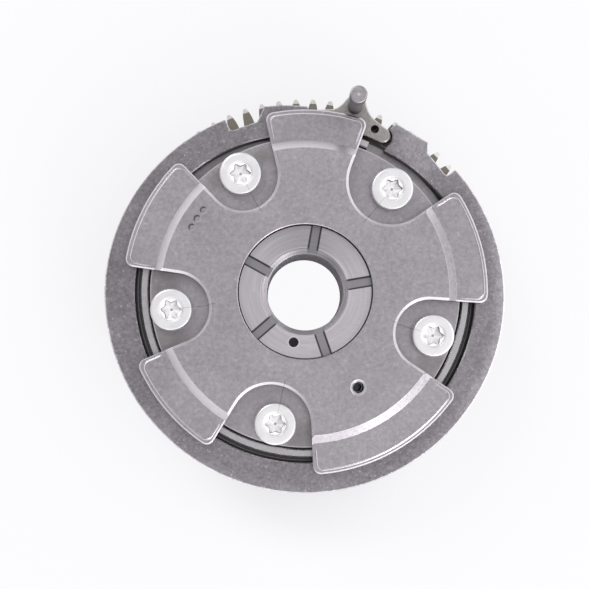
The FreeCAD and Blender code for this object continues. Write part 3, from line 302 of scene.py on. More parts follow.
def shell(name, rows, first_pole=None, last_pole=None, wrap=True):
    """A mesh on a grid of points, rows by columns by x, y, z in metres. Each cell is
    one quad. With wrap the last column joins the first, and a pole closes an end with
    a fan of triangles."""
    count, around = rows.shape[:2]
    points = [rows.reshape(-1, 3)]
    index = np.arange(count * around).reshape(count, around)
    right = np.roll(index, -1, axis=1) if wrap else index[:, 1:]
    left = index if wrap else index[:, :-1]
    quads = np.stack([left[:-1], right[:-1], right[1:], left[1:]], axis=-1).reshape(-1, 4)
    fans = []
    for pole, row, flip in ((first_pole, 0, True), (last_pole, count - 1, False)):
        if pole is None:
            continue
        tip = sum(len(part) for part in points)
        points.append(np.array([pole], float))
        fan = np.stack([left[row], right[row], np.full(left.shape[1], tip)], axis=-1)
        fans.append(fan[:, ::-1] if flip else fan)
    corners = np.concatenate(points)
    mesh = bpy.data.meshes.new(name)
    mesh.from_pydata(corners.tolist(), [], quads.tolist() + [
        triangle for fan in fans for triangle in fan.tolist()])
    mesh.polygons.foreach_set("use_smooth", np.ones(len(mesh.polygons), bool))
    mesh.update()
    piece = bpy.data.objects.new(name, mesh)
    bpy.context.scene.collection.objects.link(piece)
    return piece


def join_pieces(name, pieces):
    """Several meshes as one object of a new name."""
    for piece in bpy.context.selected_objects:
        piece.select_set(False)
    for piece in pieces:
        piece.select_set(True)
    bpy.context.view_layer.objects.active = pieces[0]
    bpy.ops.object.join()
    pieces[0].name = name
    pieces[0].data.name = name
    return pieces[0]


def shaded_by_angle(piece, degrees):
    """Smooth shading with sharp edges above an angle."""
    piece.data.set_sharp_from_angle(angle=math.radians(degrees))


def bolt_rows(centre, base, sizes):
    """Rows of a six-lobe bolt from the floor of its recess over the head and down the
    shank. Each row is a circle of its own radius and height, and a share of it swells
    and shrinks six times round, fully in the recess and not at all outside it."""
    turn = np.linspace(0, 2 * math.pi, AROUND, endpoint=False)
    top = base + sizes.head_high
    sink = top - sizes.sink_deep
    floor = top - sizes.recess_deep
    star = sizes.star_mean
    head = sizes.head_radius
    edge = sizes.head_edge
    bend = np.radians(np.linspace(0, 90, 7))
    rows = [(0.25, floor - 0.25, 0), (0.9, floor, 0.3), (star - 0.25, floor + 0.02, 1),
            (star - 0.1, floor + 0.1, 1), (star - 0.04, floor + 0.4, 1),
            (star, sink - 0.15, 1), (star + 0.03, sink - 0.05, 1), (star + 0.12, sink, 1),
            (star + 0.2, sink + 0.01, 0.9), (sizes.sink_radius - 0.3, sink + 0.02, 0),
            (sizes.sink_radius - 0.12, sink + 0.06, 0),
            (sizes.sink_radius, top - 0.06, 0), (sizes.sink_radius + 0.12, top, 0)]
    rows += [(sizes.sink_radius + (head - edge - sizes.sink_radius) * share, top, 0)
             for share in (0.3, 0.6)]
    rows += [(head - edge + edge * math.sin(angle), top - edge + edge * math.cos(angle), 0)
             for angle in bend]
    rows += [(head, base + 0.25, 0), (head - 0.08, base + 0.06, 0), (head - 0.2, base, 0),
             (sizes.shank_radius + 0.3, base, 0), (sizes.shank_radius, base - 0.2, 0)]
    half_deep = 0.12
    tip = sizes.tip_height
    rows += [(sizes.shank_radius - half_deep + half_deep * math.cos(2 * math.pi * step),
              tip + sizes.thread_long + 0.6 - step, 0)
             for step in np.arange(0, sizes.thread_long, 0.25)]
    rows += [(sizes.shank_radius, tip + 0.6, 0), (sizes.shank_radius - 0.5, tip, 0)]
    radius, height, share = np.array(rows, float).T
    lobes = sizes.star_swell * np.cos(6 * turn) + 0.06 * np.cos(12 * turn)
    reach = radius[:, None] + share[:, None] * lobes[None, :]
    points = np.empty(reach.shape + (3,))
    points[..., 0] = centre[0] + reach * np.cos(turn)
    points[..., 1] = centre[1] + reach * np.sin(turn)
    points[..., 2] = height[:, None]
    ends = ((centre[0], centre[1], floor - 0.3), (centre[0], centre[1], tip))
    return points * MM, [tuple(value * MM for value in end) for end in ends]


def lathe_rows(centre, profile):
    """Rows of a turned piece: every corner of the profile, a radius and a height, goes
    round the piece's own upright axis."""
    turn = np.linspace(0, 2 * math.pi, AROUND, endpoint=False)
    radius, height = np.array(profile, float).T
    points = np.empty((len(profile), AROUND, 3))
    points[..., 0] = centre[0] + radius[:, None] * np.cos(turn)
    points[..., 1] = centre[1] + radius[:, None] * np.sin(turn)
    points[..., 2] = height[:, None]
    return points * MM


def coil_rows(centre, low, high, mean, wire, turns):
    """A round wire wound into a coil: its middle climbs evenly round an upright axis,
    and every row is a circle round that middle, square to the wire."""
    share = np.linspace(0, 1, int(turns * 40) + 1)
    turn = 2 * math.pi * turns * share
    rise = high - low - 2 * wire
    outward = np.stack([np.cos(turn), np.sin(turn), np.zeros_like(turn)], axis=-1)
    along = np.stack([-np.sin(turn), np.cos(turn),
                      np.full_like(turn, rise / (2 * math.pi * turns * mean))], axis=-1)
    along /= np.linalg.norm(along, axis=1)[:, None]
    upward = np.cross(outward, along)
    middle = mean * outward + np.array([centre[0], centre[1], 0.0])
    middle[:, 2] = low + wire + rise * share
    around = np.linspace(0, 2 * math.pi, 14, endpoint=False)
    points = middle[:, None, :] + wire * (np.cos(around)[None, :, None] * outward[:, None, :]
                                          + np.sin(around)[None, :, None] * upward[:, None, :])
    return points * MM, (middle[0] * MM, middle[-1] * MM)


def polar(radius, degrees):
    """A point at a radius and an angle, as an array of x and y."""
    turn = np.radians(degrees)
    return np.stack([radius * np.cos(turn), radius * np.sin(turn)], axis=-1)


def tab_path(start, finish, inner, outer, corner):
    """A line round a tab: up one radial side, round a corner of a given radius, along
    the outer arc, round the other corner and down the other side."""
    seat = outer - corner
    swing = math.degrees(math.asin(corner / seat))
    reach = math.sqrt(seat * seat - corner * corner)
    up = polar(np.linspace(inner, reach, 24), np.full(24, float(start)))
    first = polar(seat, start + swing)
    round_up = first + polar(corner, np.linspace(start - 90, start + swing, 18))
    along = polar(outer, np.linspace(start + swing, finish - swing, 90))
    last = polar(seat, finish - swing)
    round_down = last + polar(corner, np.linspace(finish - swing, finish + 90, 18))
    down = polar(np.linspace(reach, inner, 24), np.full(24, float(finish)))
    path = np.concatenate([up, round_up, along, round_down, down])
    apart = np.linalg.norm(np.diff(path, axis=0), axis=1)
    return path[np.concatenate([[True], apart > 1e-4])]


def lip_rows(path, height, width, rise):
    """A rounded lip carried along a path: at each point the profile is a squared cosine
    across the path, and its rise fades to nothing at both ends."""
    along = np.gradient(path, axis=0)
    along /= np.linalg.norm(along, axis=1)[:, None]
    aside = np.stack([along[:, 1], -along[:, 0]], axis=-1)
    across = np.linspace(-1, 1, 9)
    length = np.concatenate([[0], np.cumsum(np.linalg.norm(np.diff(path, axis=0), axis=1))])
    fade = np.clip(np.minimum(length, length[-1] - length) / 2.0, 0, 1)
    points = np.empty((len(path), len(across), 3))
    offset = aside[:, None, :] * (across * width / 2)[None, :, None]
    points[..., :2] = path[:, None, :] + offset
    swell = np.cos(across * math.pi / 2) ** 2
    points[..., 2] = height + rise * swell[None, :] * fade[:, None] - 0.01
    return points[:, ::-1] * MM


# Settings that a user would change

class PhaserBoltSizes(bpy.types.PropertyGroup):
    """Sizes of the cover bolts, in millimetres."""

    circle: bpy.props.FloatProperty(
        name="Bolt circle", description="Radius of the bolt circle, mm", default=40.5)
    head_radius: bpy.props.FloatProperty(
        name="Head radius", description="Radius of the flat head, mm", default=6.34)
    head_high: bpy.props.FloatProperty(
        name="Head height", description="Height of the head, mm", default=3.3)
    head_edge: bpy.props.FloatProperty(
        name="Head edge", description="Rounding of the head, mm", default=0.7)
    sink_radius: bpy.props.FloatProperty(
        name="Countersink", description="Radius of the countersink, mm", default=3.5)
    sink_deep: bpy.props.FloatProperty(
        name="Countersink depth", description="Depth of the countersink, mm", default=0.35)
    recess_deep: bpy.props.FloatProperty(
        name="Recess depth", description="Depth of the star recess, mm", default=2.0)
    star_mean: bpy.props.FloatProperty(
        name="Star radius", description="Mean radius of the star recess, mm", default=2.62)
    star_swell: bpy.props.FloatProperty(
        name="Star lobes", description="Swell of the lobes, mm", default=0.42)
    shank_radius: bpy.props.FloatProperty(
        name="Shank radius", description="Radius of the shank, mm", default=2.98)
    thread_long: bpy.props.FloatProperty(
        name="Thread length", description="Threaded end of the shank, mm", default=12.0)
    tip_height: bpy.props.FloatProperty(
        name="Tip height", description="Height of the shank's tip, mm", default=1.5)


class PhaserCoverSizes(bpy.types.PropertyGroup):
    """Sizes of the lips round the tabs of the cover, in millimetres."""

    tab_radius: bpy.props.FloatProperty(
        name="Tab radius", description="Outside of the tabs, mm", default=54.7)
    tab_corner: bpy.props.FloatProperty(
        name="Tab corner", description="Corner radius of the tabs, mm", default=2.4)
    lip_inset: bpy.props.FloatProperty(
        name="Lip inset", description="Lip from the edge of the tab, mm", default=1.2)
    lip_width: bpy.props.FloatProperty(
        name="Lip width", description="Width of a lip, mm", default=0.55)
    lip_rise: bpy.props.FloatProperty(
        name="Lip rise", description="Height of a lip, mm", default=0.13)
    lip_start: bpy.props.FloatProperty(
        name="Lip start", description="Where a lip starts, from the axis, mm", default=46.2)


class PhaserTones(bpy.types.PropertyGroup):
    """Colours of the finishes."""

    cover: bpy.props.FloatVectorProperty(
        name="Cover", description="Tumbled steel of the cover", subtype="COLOR",
        default=(0.385, 0.36, 0.385))
    ring: bpy.props.FloatVectorProperty(
        name="Spring ring", description="Speckled steel of the ring", subtype="COLOR",
        default=(0.24, 0.225, 0.24))
    gear: bpy.props.FloatVectorProperty(
        name="Gears", description="Hardened steel of the gears", subtype="COLOR",
        default=(0.36, 0.345, 0.355))
    lever: bpy.props.FloatVectorProperty(
        name="Lever", description="Olive grey steel of the lever", subtype="COLOR",
        default=(0.345, 0.33, 0.32))
    peg: bpy.props.FloatVectorProperty(
        name="Peg", description="Grey steel of the peg", subtype="COLOR",
        default=(0.37, 0.35, 0.36))
    hub: bpy.props.FloatVectorProperty(
        name="Rotor", description="Turned steel of the rotor", subtype="COLOR",
        default=(0.565, 0.54, 0.57))
    bolt: bpy.props.FloatVectorProperty(
        name="Bolts", description="White zinc of the bolts", subtype="COLOR",
        default=(0.8, 0.79, 0.8))
    seal: bpy.props.FloatVectorProperty(
        name="Seals", description="Dark sealing strips", subtype="COLOR",
        default=(0.06, 0.055, 0.05))


class PhaserStudio(bpy.types.PropertyGroup):
    """Camera, floor and light."""

    eye: bpy.props.FloatVectorProperty(
        name="Camera place", description="Place of the camera", subtype="TRANSLATION",
        unit="LENGTH", default=(-0.0072, -0.0216, 0.432))
    gaze: bpy.props.FloatVectorProperty(
        name="View direction", description="Direction of the view", subtype="DIRECTION",
        default=(0.0, 0.0, -1.0))
    shift: bpy.props.FloatVectorProperty(
        name="Shift", description="Shift of the picture, as shares of its width", size=2,
        default=(0.0227, 0.1185))
    lens: bpy.props.FloatProperty(
        name="Lens", description="Focal length, mm", default=82.1, subtype="DISTANCE_CAMERA")
    zenith: bpy.props.FloatProperty(
        name="Light from above", description="Strength straight above", default=0.8)
    side: bpy.props.FloatProperty(
        name="Light from the sides", description="Strength near the horizon", default=1.15)
    bright_side: bpy.props.FloatVectorProperty(
        name="Bright side", description="Where the light is strongest", subtype="DIRECTION",
        default=(0.82, -0.57, 0.0))
    slope: bpy.props.FloatProperty(
        name="Slope", description="How much brighter that side is", default=0.5)


# Operators

def settings():
    """The scene, which holds the groups of settings."""
    return bpy.context.scene


def dress(material, *nodes):
    """Give CAD nodes a material."""
    for name in nodes:
        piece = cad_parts[name]
        piece.data.materials.clear()
        piece.data.materials.append(material)


class PHASER_OT_stage(bpy.types.Operator):
    """Camera, pale floor and soft studio light."""

    bl_idname = "phaser.stage"
    bl_label = "Stage"

    def execute(self, context):
        studio = settings().phaser_studio
        camera = bpy.data.cameras.new("camera")
        camera.lens = studio.lens
        camera.shift_x, camera.shift_y = studio.shift
        camera.sensor_width = 36.0
        camera.clip_start = 0.01
        view = bpy.data.objects.new("camera", camera)
        forward = Vector(studio.gaze).normalized()
        right = forward.cross(Vector((0, 1, 0))).normalized()
        up = right.cross(forward)
        turn = Matrix((right, up, -forward)).transposed().to_4x4()
        view.matrix_world = Matrix.Translation(Vector(studio.eye)) @ turn
        context.scene.collection.objects.link(view)
        context.scene.camera = view

        span = np.linspace(-1.2, 1.2, 13)
        across, along = np.meshgrid(span, span)
        rows = np.stack([across, along, np.full_like(across, -0.00005)], axis=-1)
        floor = shell("floor", rows, wrap=False)
        floor.data.materials.append(self.floor_finish())
        self.world(context, studio)
        for name, place, energy, size in (
                ("key_light", (-0.5, 0.75, 0.9), 5.5, 0.7),
                ("low_light", (0.55, -0.8, 0.45), 3.6, 0.6)):
            lamp = bpy.data.lights.new(name, "AREA")
            lamp.shape = "DISK"
            lamp.size = size
            lamp.energy = energy
            light = bpy.data.objects.new(name, lamp)
            aim = (Vector((0, 0, 0.02)) - Vector(place)).to_track_quat("-Z", "Y")
            light.matrix_world = Matrix.Translation(Vector(place)) @ aim.to_matrix().to_4x4()
            context.scene.collection.objects.link(light)
        context.scene.view_settings.view_transform = "Standard"
        return {"FINISHED"}

    def floor_finish(self):
        """Near white, with the shadow kept: the camera sees mostly a plain glow, less of
        it below the object, and nothing else in the middle, under the bore."""
        finish = Finish("floor_white")
        plain = finish.node("ShaderNodeBsdfDiffuse", Color=(0.86, 0.86, 0.87, 1.0))["BSDF"]
        glow = finish.node("ShaderNodeEmission", Color=(0.955, 0.95, 0.965, 1.0),
                           Strength=1.0)["Emission"]
        ray = finish.node("ShaderNodeLightPath")["Is Camera Ray"]
        share = 0.82 + finish.spot(0.0, 0.0, 16.0, 18.0) * 0.18
        share = share - finish.spot(60.0, 272.0, 6.0, 42.0) * 0.4
        mixed = finish.node("ShaderNodeMixShader", Fac=ray * share)
        made = finish.tree.nodes[-1]
        finish.tree.links.new(plain.socket, made.inputs[1])
        finish.tree.links.new(glow.socket, made.inputs[2])
        finish.node("ShaderNodeOutputMaterial", Surface=mixed["Shader"])
        return finish.material

    def world(self, context, studio):
        """White for the camera. For the light, dimmer straight above and brighter
        towards the sides, as in a tent with a hole for the camera, and brighter on the
        side where the large lamp shines through."""
        world = bpy.data.worlds.new("studio")
        world.use_nodes = True
        context.scene.world = world
        tree = world.node_tree
        tree.nodes.clear()
        place = tree.nodes.new("ShaderNodeTexCoord")
        parts = tree.nodes.new("ShaderNodeSeparateXYZ")
        tree.links.new(place.outputs["Generated"], parts.inputs[0])
        height = self.eased(tree, parts.outputs["Z"], 0.5, 0.97, studio.side, studio.zenith)
        toward = tree.nodes.new("ShaderNodeVectorMath")
        toward.operation = "DOT_PRODUCT"
        tree.links.new(place.outputs["Generated"], toward.inputs[0])
        toward.inputs[1].default_value = studio.bright_side
        slope = self.eased(tree, toward.outputs["Value"], -0.4, 0.45, 1 - studio.slope,
                           1 + studio.slope)
        strength = tree.nodes.new("ShaderNodeMath")
        strength.operation = "MULTIPLY"
        tree.links.new(height, strength.inputs[0])
        tree.links.new(slope, strength.inputs[1])
        rays = tree.nodes.new("ShaderNodeLightPath")
        light = tree.nodes.new("ShaderNodeBackground")
        tree.links.new(strength.outputs[0], light.inputs["Strength"])
        seen = tree.nodes.new("ShaderNodeBackground")
        seen.inputs["Strength"].default_value = 1.0
        seen.inputs["Color"].default_value = (1, 1, 1, 1)
        light.inputs["Color"].default_value = (0.99, 0.985, 1.0, 1)
        mixed = tree.nodes.new("ShaderNodeMixShader")
        tree.links.new(rays.outputs["Is Camera Ray"], mixed.inputs[0])
        tree.links.new(light.outputs[0], mixed.inputs[1])
        tree.links.new(seen.outputs[0], mixed.inputs[2])
        out = tree.nodes.new("ShaderNodeOutputWorld")
        tree.links.new(mixed.outputs[0], out.inputs["Surface"])

    @staticmethod
    def eased(tree, source, low, high, first, last):
        """The first value below low, the last above high and a smooth change between."""
        made = tree.nodes.new("ShaderNodeMapRange")
        made.interpolation_type = "SMOOTHSTEP"
        tree.links.new(source, made.inputs["Value"])
        made.inputs["From Min"].default_value = low
        made.inputs["From Max"].default_value = high
        made.inputs["To Min"].default_value = first
        made.inputs["To Max"].default_value = last
        return made.outputs["Result"]


class PHASER_OT_cover(bpy.types.Operator):
    """Front cover: tumbled steel, scribe lines and a lip round each tab."""

    bl_idname = "phaser.cover"
    bl_label = "Cover"

    def execute(self, context):
        tone = settings().phaser_tones.cover
        sizes = settings().phaser_cover
        steel = tumbled_steel("cover_finish", tone, speckle=0.095, blotch=0.07, edge=1.3,
                              rough=0.42, marks=self.marks)
        dress(steel, "front_cover")
        lips = []
        for number in range(len(WINDOW_MIDDLES)):
            following = (number + 1) % len(WINDOW_MIDDLES)
            start = WINDOW_MIDDLES[number] + WINDOW_HALVES[number]
            finish = WINDOW_MIDDLES[following] - WINDOW_HALVES[following]
            finish += 360 if finish < start else 0
            inset = sizes.lip_inset
            swing = math.degrees(inset / sizes.tab_radius)
            path = tab_path(start + swing, finish - swing, sizes.lip_start,
                            sizes.tab_radius - inset, sizes.tab_corner - inset * 0.3)
            rows = lip_rows(path, TAB_TOP, sizes.lip_width, sizes.lip_rise)
            lips.append(shell(f"tab_lip_{number + 1}", rows, wrap=False))
        lip = join_pieces("tab_lips", lips)
        # The lip is a lighter copy of the cover steel, a painted highlight
        lip.data.materials.append(tumbled_steel("lip_highlight_finish", grey(tone, 1.1), speckle=0.04,
                                                blotch=0.04, edge=1.15, rough=0.42))
        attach(lip, "housing")
        return {"FINISHED"}

    @staticmethod
    def marks(finish, colour):
        """Painted highlights on the rims and along the outer edge of the window floors,
        painted shade on upright walls, a thin dark scribe line in from each bolt, dimples with
        a painted shaded side and a painted highlight side, and painted shade round the bolt
        heads on the floors of the windows. The bevel gets a painted highlight at the upper
        left and painted shade at two places on the right, the vent's chamfer a painted
        highlight and the top tab a little painted shade."""
        bevel = finish.band(finish.radius, BEVEL[0], BEVEL[1], 0.15) * finish.chamfers()
        below = finish.step(finish.x - finish.y, -6.0, 20.0)
        outside = finish.step(finish.radius, 20.6, 20.8)
        # Painted highlight on leaning rims outside the bore and over the lower right, but not
        # on the bevel
        rim = finish.chamfers() * (1 - bevel) * finish.maths("MAXIMUM", outside, below)
        dark_marks, glint = 0.0, 0.0
        for angle in BOLT_ANGLES:
            dark_marks = finish.strip(angle, 27.0, 35.5, 0.0, 0.07) + dark_marks
        # Each dimple gets painted shade on its upper left side, added to the dark scribe
        # marks, and a painted highlight on its lower right side
        for angle in DIMPLE_ANGLES:
            x, y = polar(DIMPLE_CIRCLE, angle)
            inside = finish.spot(DIMPLE_CIRCLE, angle, 0.55, 0.8)
            ring = finish.spot(DIMPLE_CIRCLE, angle, 1.0, 1.25) - inside
            lean = finish.step(finish.y - finish.x, float(y - x) - 0.7, float(y - x) + 0.7)
            dark_marks = ring * lean + dark_marks
            glint = ring * (1 - lean) + glint
        # Dark scribe lines together with the dimples' painted shade
        dark = finish.maths("MINIMUM", dark_marks * 0.55, 1.0)
        floor = finish.band(finish.z, FLANGE_TOP - 1, FLANGE_TOP + 1, 0.1)
        # Painted shade, with a warm dark tint, on the window floors round the bolt heads
        shade_spots = 0.0
        for radius, angle, reach in BOLT_SHADE_SPOTS:
            shade_spots = finish.spot(radius, angle, reach * 0.3, reach) + shade_spots
        floor_shade = floor * finish.maths("MINIMUM", shade_spots, 1.0)
        bolt_shaded = finish.blend(floor_shade * 0.45, colour, BOLT_SHADE)
        upper = 1 - finish.step(finish.x - finish.y, -10.0, 30.0)
        # Painted highlight line along the outer edge of the window floors
        ledge_highlight = floor * finish.step(finish.radius, 46.35, 46.45)
        light = rim * 0.62 + ledge_highlight * 0.45 + glint * 0.35
        lit = finish.blend(light, bolt_shaded, RIM_HIGHLIGHT)
        # Painted highlight on the vent's chamfer and on the bevel at the upper left
        vent_highlight = finish.spot(*VENT, 2.3, 2.7) * finish.chamfers()
        lit = finish.blend(bevel * upper * 0.8 + vent_highlight * 0.6, lit, BEVEL_HIGHLIGHT)
        # Painted shade dimming the bevel at two places on the right
        painted_shading = finish.spot(44.0, 12.0, 8.0, 27.0) * 0.3
        painted_shading = (finish.spot(44.0, 304.0, 8.0, 26.0) * 0.14 + painted_shading) * bevel
        tab = finish.step(finish.radius, 45.2, 45.5) * (1 - floor)
        # Painted shade on the tab at the top
        top = finish.spot(50.0, 88.0, 5.0, 18.0) * tab * 0.1
        # Darker at the scribe marks, with painted shade on upright walls, on the bevel's two
        # places and on the top tab
        share = (1 - dark) * (1 - finish.walls() * 0.8) * (1 - painted_shading - top)
        return finish.vector("SCALE", lit, Scale=share)


class PHASER_OT_ring(bpy.types.Operator):
    """Spring ring, lever and peg."""

    bl_idname = "phaser.ring"
    bl_label = "Ring and lever"

    def execute(self, context):
        tones = settings().phaser_tones
        dress(tumbled_steel("ring_finish", tones.ring, speckle=0.16, blotch=0.2, edge=1.9,
                            rough=0.46, grain_size=0.5, marks=self.marks, relief=0.03),
              "preload_ring")
        dress(tumbled_steel("lever_finish", grey(tones.lever, 1.12), speckle=0.09,
                            blotch=0.1, edge=1.4, rough=0.42),
              "tension_lever", "lever_rivet")
        centre = polar(*PEG)
        low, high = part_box("lever_peg")
        bottom, top = low[2] / MM, high[2] / MM
        neck, head, deep, edge = 2.3, 2.55, 4.6, 0.45
        bend = np.radians(np.linspace(0, 90, 6))
        profile = [(0.35, top - 0.09), (0.7, top - 0.02), (0.9, top)]
        profile += [(head - edge + edge * math.sin(turn), top - edge + edge * math.cos(turn))
                    for turn in bend]
        profile += [(head, top - deep + 0.35), (head - 0.05, top - deep + 0.15),
                    (neck + 0.05, top - deep), (neck, top - deep - 0.25),
                    (neck - 0.04, top - 9.0), (neck, top - 14.0), (neck, bottom + 0.3),
                    (neck - 0.3, bottom)]
        rows = lathe_rows(centre, profile)
        poles = [(centre[0] * MM, centre[1] * MM, height * MM)
                 for height in (top - 0.12, bottom)]
        peg = shell("peg_turned", rows[:, ::-1], poles[0], poles[1])
        shaded_by_angle(peg, 50)
        peg.data.materials.append(tumbled_steel(
            "peg_finish", tones.peg, speckle=0.12, blotch=0.2, edge=1.0, rough=0.5,
            grain_size=0.5, marks=self.peg_marks))
        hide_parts("lever_peg")
        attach(peg, "backlash")
        return {"FINISHED"}

    @staticmethod
    def peg_marks(finish, colour):
        """Painted shade under the head and a painted contact shadow at the foot, with a light
        dot on top.
        """
        # Painted shade under the head, and a painted contact shadow at the foot
        neck = finish.band(finish.z, 42.6, 43.6, 0.25) * 0.45
        foot_shadow = (1 - finish.step(finish.z, 29.5, 33.5)) * 0.5
        dot = finish.spot(*PEG, 0.25, 0.6) * finish.step(finish.z, 45.5, 46.0)
        shaded = finish.vector("SCALE", colour, Scale=1 - neck - foot_shadow)
        return finish.blend(dot * 0.5, shaded, PEG_LIGHT)

    @staticmethod
    def marks(finish, colour):
        """Painted light on one side, and most of all a painted highlight near the outer edge,
        with a painted highlight line at the edge all round but for the lower end, which gets a
        little painted shade instead; strewn with small bright specks."""
        # Painted light on the lower right side, and a painted highlight near the outer edge
        side = finish.step(finish.x * 0.82 - finish.y * 0.57, -45.0, 60.0)
        edge = finish.step(finish.radius, 56.0, 60.4) * side
        edge_highlight_line = finish.step(finish.radius, 59.7, 60.1)
        tip = finish.spot(56.0, 52.0, 3.0, 13.0)
        # Less painted highlight and a little painted shade at the lower end
        low = finish.spot(58.0, 290.0, 10.0, 60.0)
        share = 1 + side * 0.12 + edge * (0.6 - low * 0.5) + tip * 0.25
        share = share + edge_highlight_line * (0.45 - low * 0.55) - low * 0.06
        speck = 1 - finish.step(finish.pits(1.7), 0.08, 0.16)
        return finish.vector("SCALE", colour, Scale=share + speck * 0.8)


class PHASER_OT_gears(bpy.types.Operator):
    """Drive gear, split gear and stator."""

    bl_idname = "phaser.gears"
    bl_label = "Gears"

    def execute(self, context):
        tones = settings().phaser_tones
        dress(tumbled_steel("gear_finish", tones.gear, speckle=0.08, blotch=0.1, edge=1.5,
                            rough=0.38, marks=self.marks), "drive_gear")
        dress(tumbled_steel("split_gear_finish", tones.gear, speckle=0.08, blotch=0.12,
                            edge=1.55, rough=0.38, marks=self.marks), "backlash_gear")
        dress(turned_steel("stator_finish", grey(tones.gear, 0.4)), "stator")
        return {"FINISHED"}

    @staticmethod
    def marks(finish, colour):
        """The tops of the teeth are brown and their chamfers get a painted highlight, and the
        collar is light, most of all its stop lug. The rim inside the teeth, seen only through
        gaps, and upright walls get painted shade, with a thin line on that rim left lighter as
        a painted highlight."""
        tooth = finish.step(finish.radius, 53.5, 54.5)
        front = finish.step(finish.z, 20.0, 21.0)
        brown = finish.blend(tooth * (0.3 + front * 0.6), colour, TOOTH_BROWN)
        # Painted highlight on the chamfers of the teeth
        lit = finish.blend(tooth * finish.chamfers() * 0.75, brown, TOOTH_EDGE_HIGHLIGHT)
        lug = finish.spot(*STOP_LUG, 1.5, 1.9) * finish.step(finish.z, 27.0, 27.2)
        lit = finish.blend(lug * 0.4, lit, LUG_LIGHT)
        collar = finish.step(finish.z, 26.8, 27.0) * finish.step(finish.up, 0.5, 0.8)
        lit = finish.blend(collar * 0.35, lit, COLLAR_LIGHT)
        # Painted shade in the gap inside the teeth and on upright walls, with a thin line left
        # lighter as a painted highlight
        gap_shade = finish.band(finish.radius, 49.62, 53.6, 0.02) + finish.walls() * 0.3
        gap_shade = gap_shade - finish.band(finish.radius, 50.7, 50.85, 0.06) * 0.9
        dark = finish.maths("MINIMUM", gap_shade, 1.0) * 0.75
        return finish.vector("SCALE", lit, Scale=1 - dark)


class PHASER_OT_rotor(bpy.types.Operator):
    """Rotor: turned steel with darker groove floors."""

    bl_idname = "phaser.rotor"
    bl_label = "Rotor"

    def execute(self, context):
        tones = settings().phaser_tones
        dress(turned_steel("rotor_finish", tones.hub, marks=self.marks), "rotor")
        return {"FINISHED"}

    @staticmethod
    def marks(finish, colour):
        """The turned face gets painted shade towards the top, spread like a fan. The chamfer
        of the bore gets painted shade at the top and a painted highlight below, with a painted
        highlight line round its outer edge and thin dark lines of painted shade at its steps,
        strongest at the top. The floors of the oil grooves are darker, with a dark line of
        painted shade at each side, and the blind hole is painted black as shade with a painted
        highlight on its rim."""
        # Painted shade on the top of the turned face, spread like a fan
        fan = finish.maths("COSINE", finish.turn - math.radians(85.0))
        fan = finish.maths("MAXIMUM", fan, 0.0) ** 3.0
        face = finish.vector("SCALE", colour, Scale=1 - fan * 0.27)
        # Painted shade on the top of the bore's chamfer and a painted highlight on its lower
        # part
        edge = finish.chamfers() * (1 - finish.step(finish.radius, 13.5, 14.0))
        above = finish.step(finish.y, 2.0, 11.0)
        painted_shading = finish.blend(edge * (0.12 + above * 0.38), face, BORE_SHADE)
        painted_shading = finish.blend(edge * (1 - above) * 0.4, painted_shading, BORE_HIGHLIGHT)
        # Thin dark lines of painted shade at the steps of the bore, strongest at the top
        step_shade = finish.band(finish.radius, 12.05, 12.15, 0.1) * (0.25 + above * 0.45)
        step_shade = step_shade + finish.band(finish.radius, 12.9, 13.0, 0.1) * above * 0.5
        painted_shading = finish.blend(step_shade, painted_shading, BORE_STEP_SHADE)
        # Painted highlight line round the chamfer's outer edge
        edge_highlight_line = finish.band(finish.radius, 13.25, 13.45, 0.1)
        painted_shading = finish.blend(edge_highlight_line * 0.4, painted_shading, BORE_HIGHLIGHT)
        floor = finish.band(finish.z, 29.2, 30.0, 0.1) * finish.step(finish.up, 0.9, 0.95)
        grooved = finish.blend(floor * 0.75, painted_shading, GROOVE_FLOOR)
        # Painted shade as a dark line at each side of every oil groove
        sides = 0.0
        for angle in GROOVE_ANGLES:
            sides = finish.strip(angle, 12.9, 20.3, 1.4, 0.26) + sides
        shade = finish.maths("MINIMUM", sides, 1.0) * 0.9
        lined = finish.blend(shade, grooved, GROOVE_WALL_SHADE)
        # The blind hole is painted black as shade, with a painted highlight on its rim
        rimmed = finish.blend(finish.spot(*BLIND_HOLE, 1.75, 1.95) * 0.5, lined, HOLE_RIM_HIGHLIGHT)
        return finish.blend(finish.spot(*BLIND_HOLE, 1.4, 1.5) * 0.96, rimmed, HOLE_SHADE)


